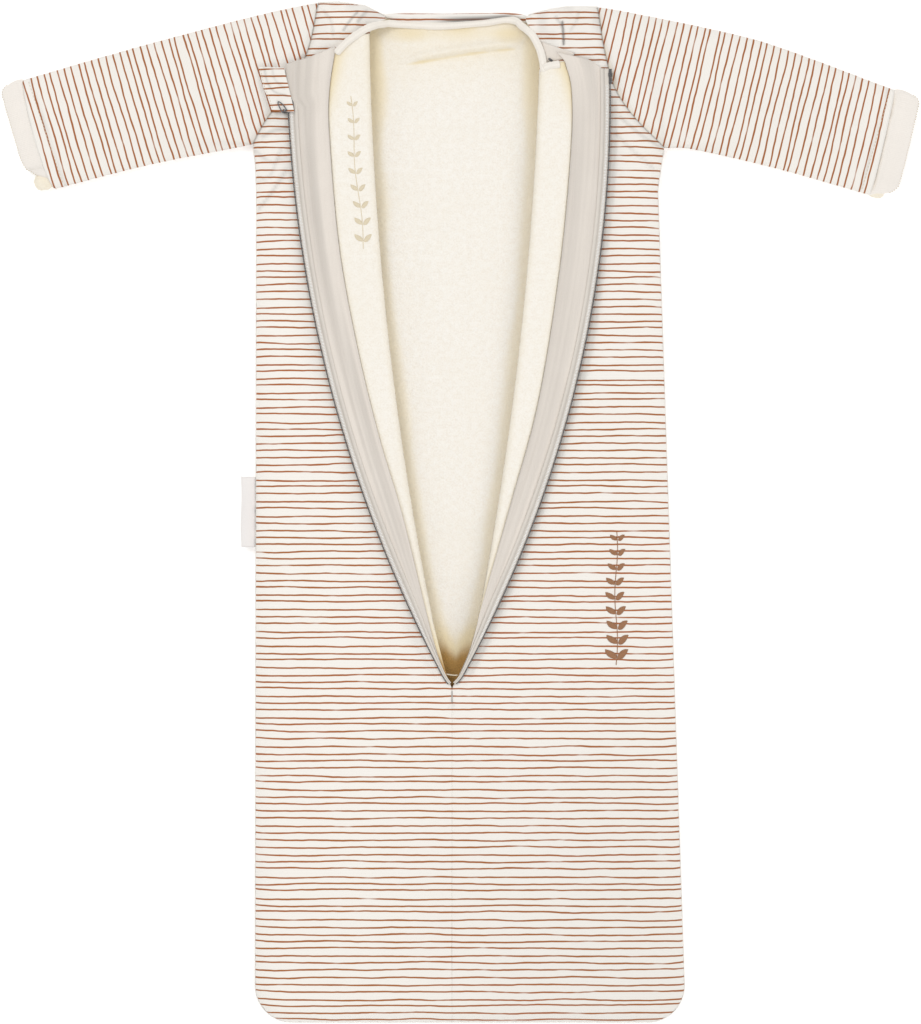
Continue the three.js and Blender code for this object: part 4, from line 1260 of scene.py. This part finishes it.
def make_decoration(front_right, flap_left_plush):
    leaves = sprig(137, -134, 137, -17, 11.0, 6.6, 50)
    satin("front_sprig", leaves, BROWN_THREAD, "bag", front_right)
    leaves = sprig(-85.5, 232, -97, 366, 8.2, 4.9, 48)
    satin("flap_sprig", leaves, TONE_THREAD, "flap_left", flap_left_plush, 0.05)


def make_bartack(front_left):
    rows = [(TIP[0] + 0.1 * (i % 2), -158 - 0.62 * i, 4 if i % 2 else -4, 1.5) for i in range(16)]
    o = satin("bartack_stitches", rows, GREY_THREAD, "bag", front_left, 0.4, 0.62)
    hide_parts("zip_bartack")
    # the seam across the foot of the opening
    x = np.linspace(-12.6, -2.4, 12)
    line = np.column_stack([x, -143.2 + 0.5 * np.sin(x / 3), np.full(12, 20.6)])
    piece(tube("opening_foot_seam", line, (0.6, 0.6), PALE_THREAD, 8), "bag", "thread")


def make_neck_patch():
    """The beige end of the neck facing beside the right flap, with a small dark metal bead at its corner."""
    foot, top = resample([(75.4, 396.0), (98.5, 399.4)], 14), resample([(71.0, 414.0), (100.5, 403.6)], 14)
    plan = between(foot, top, 10)
    z = 22.35 + 0.25 * noise(plan[..., 0] / 6, plan[..., 1] / 5, 171)
    patch = slab("neck_facing_patch", plan, z, z - 0.45, plan, [FACING] * 3)
    piece(patch, "bag", "facing")
    shape, faces = bead(4.6, 2.2, 1.0, 8, 12)
    x, y, z = shape.T
    turned = np.column_stack([x * 0.8 + y * 0.6 + 79.2, y * 0.8 - x * 0.6 + 397.6, z + 23.0])
    piece(outward(mesh_object("neck_corner_bead", turned, faces, turned[:, :2], [METAL])), "bag", "zip_metal")


def make_garage():
    """The striped tab over the slider, the box and the top of the left chain."""
    nv, nu = 34, 26
    inner = resample([(-145.9, 351.2), (-148.6, 364), (-155.2, 390.6)], nv)
    outer = resample([(-165.6, 352.2), (-170.0, 365.6), (-173.2, 372), (-178.0, 391.8)], nv)
    foot, top = (resample([inner[end], outer[end]], nu) for end in (0, -1))
    plan = coons(inner, outer, foot, top)
    x, y = plan[..., 0], plan[..., 1]
    u = np.linspace(0, 1, nu)[None]
    z = 26.5 - 4.2 * u**2 * ease(352, 392, y) - 0.4 * u + 0.35 * noise(x / 8, y / 10, 151)
    z = z - 0.5 * bell(x + 171.5 + (388 - y) * 0.02, 0.8) * ease(372, 380, y)
    border = np.vstack([inner[::-1], foot, outer, top[::-1]])
    rim = rounded(np.minimum(distance(plan, border), 3) + 0.02, 1.2)
    folds = groove(x, y, [(-173, 391), (-169.5, 377), (-163, 369), (-153, 366)], 1.0)
    folds = folds + 0.6 * groove(x, y, [(-166, 391), (-163, 380), (-155, 372)], 1.2)
    z = z - 0.6 * folds
    # painted shade in the tab's folds and a little over all of it
    shade = np.clip(0.35 * folds + 0.06, 0, 1)
    tab = slab("garage_tab", plan, z + 0.35 * rim, z - 0.45 * rim, plan, [SHELL] * 3, shade)
    piece(tab, "flap_left", "shell", "zip_garage")
    line = np.column_stack([outer[3:-3] + [[1.4, 0]], z[3:-3, -3] + 0.5])
    piece(stitches("garage_stitches", line, 2.8, 1.9, 0.45, PALE_THREAD, 0.3), "flap_left", "thread")


def finish_hard_parts():
    for name in ("zip_slider", "zip_puller", "zip_pin", "zip_box"):
        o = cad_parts[name]
        o.data.materials.clear()
        o.data.materials.append(METAL)
        bevel = o.modifiers.new("edge", "BEVEL")
        bevel.width, bevel.segments, bevel.limit_method = 0.00018, 2, "ANGLE"
        for p in o.data.polygons:
            p.use_smooth = False


# ---- studio


FLOOR_SIZE, FLOOR_GREY, FLOOR_GLOW = 20.0, 0.93, 0.25
SKY, SKY_STRENGTH = (1.0, 0.995, 0.985, 1), 0.7
LENS, SENSOR = 140, 36
PICTURE_HEIGHT = 0.9011  # what the camera sees, in metres, at the height of the bag's top
CAMERA_BASE = 0.021


def placed(name, data, place):
    o = bpy.data.objects.new(name, data)
    o.location = place
    bpy.context.scene.collection.objects.link(o)
    return o


def area_light(name, place, size, watts, colour=(1, 1, 1)):
    """A round light that looks at the middle of the bag."""
    light = bpy.data.lights.new(name, "AREA")
    light.shape, light.size, light.energy, light.color = "DISK", size, watts, colour
    o = placed(name, light, place)
    o.rotation_mode = "QUATERNION"
    o.rotation_quaternion = (-Vector(place)).to_track_quat("-Z", "Y")


def make_studio():
    mesh = bpy.data.meshes.new("floor")
    r = FLOOR_SIZE
    mesh.from_pydata([(-r, -r, 0), (r, -r, 0), (r, r, 0), (-r, r, 0)], [], [(0, 1, 2, 3)])
    floor = placed("floor", mesh, (0, 0, 0))
    white = bpy.data.materials.new("floor_white")
    white.use_nodes = True
    for key, value in (
        ("Base Color", (FLOOR_GREY, FLOOR_GREY, FLOOR_GREY, 1)), ("Roughness", 0.9),
        ("Specular IOR Level", 0.1), ("Emission Color", (1, 1, 1, 1)), ("Emission Strength", FLOOR_GLOW),
    ):
        white.node_tree.nodes["Principled BSDF"].inputs[key].default_value = value
    mesh.materials.append(white)

    scene = bpy.context.scene
    scene.world = bpy.data.worlds.new("studio")
    scene.world.use_nodes = True
    background = scene.world.node_tree.nodes["Background"]
    background.inputs[0].default_value, background.inputs[1].default_value = SKY, SKY_STRENGTH
    area_light("key", (-1.15, 1.3, 3.0), 1.3, 25, SKY[:3])
    area_light("fill", (1.7, -1.2, 2.8), 2.4, 24)

    camera = bpy.data.cameras.new("camera")
    camera.lens, camera.sensor_width = LENS, SENSOR
    camera.clip_start, camera.clip_end = 0.1, 50
    scene.camera = placed("camera", camera, (0, 0, PICTURE_HEIGHT * LENS / SENSOR + CAMERA_BASE))
    scene.view_settings.view_transform, scene.view_settings.look = "Standard", "None"
    scene.view_settings.exposure = 0.0


# ---- build

make_studio()
make_back()
for side in SIDES:
    make_front(side)
    make_flap(side)
    make_sleeve(side)
    make_cuff(side)
make_seams()
make_neck()
make_label()
make_garage()
make_bartack(bpy.data.objects["front_panel_left"])
make_neck_patch()
make_decoration(bpy.data.objects["front_panel_right"], bpy.data.objects["flap_plush_left"])
finish_hard_parts()
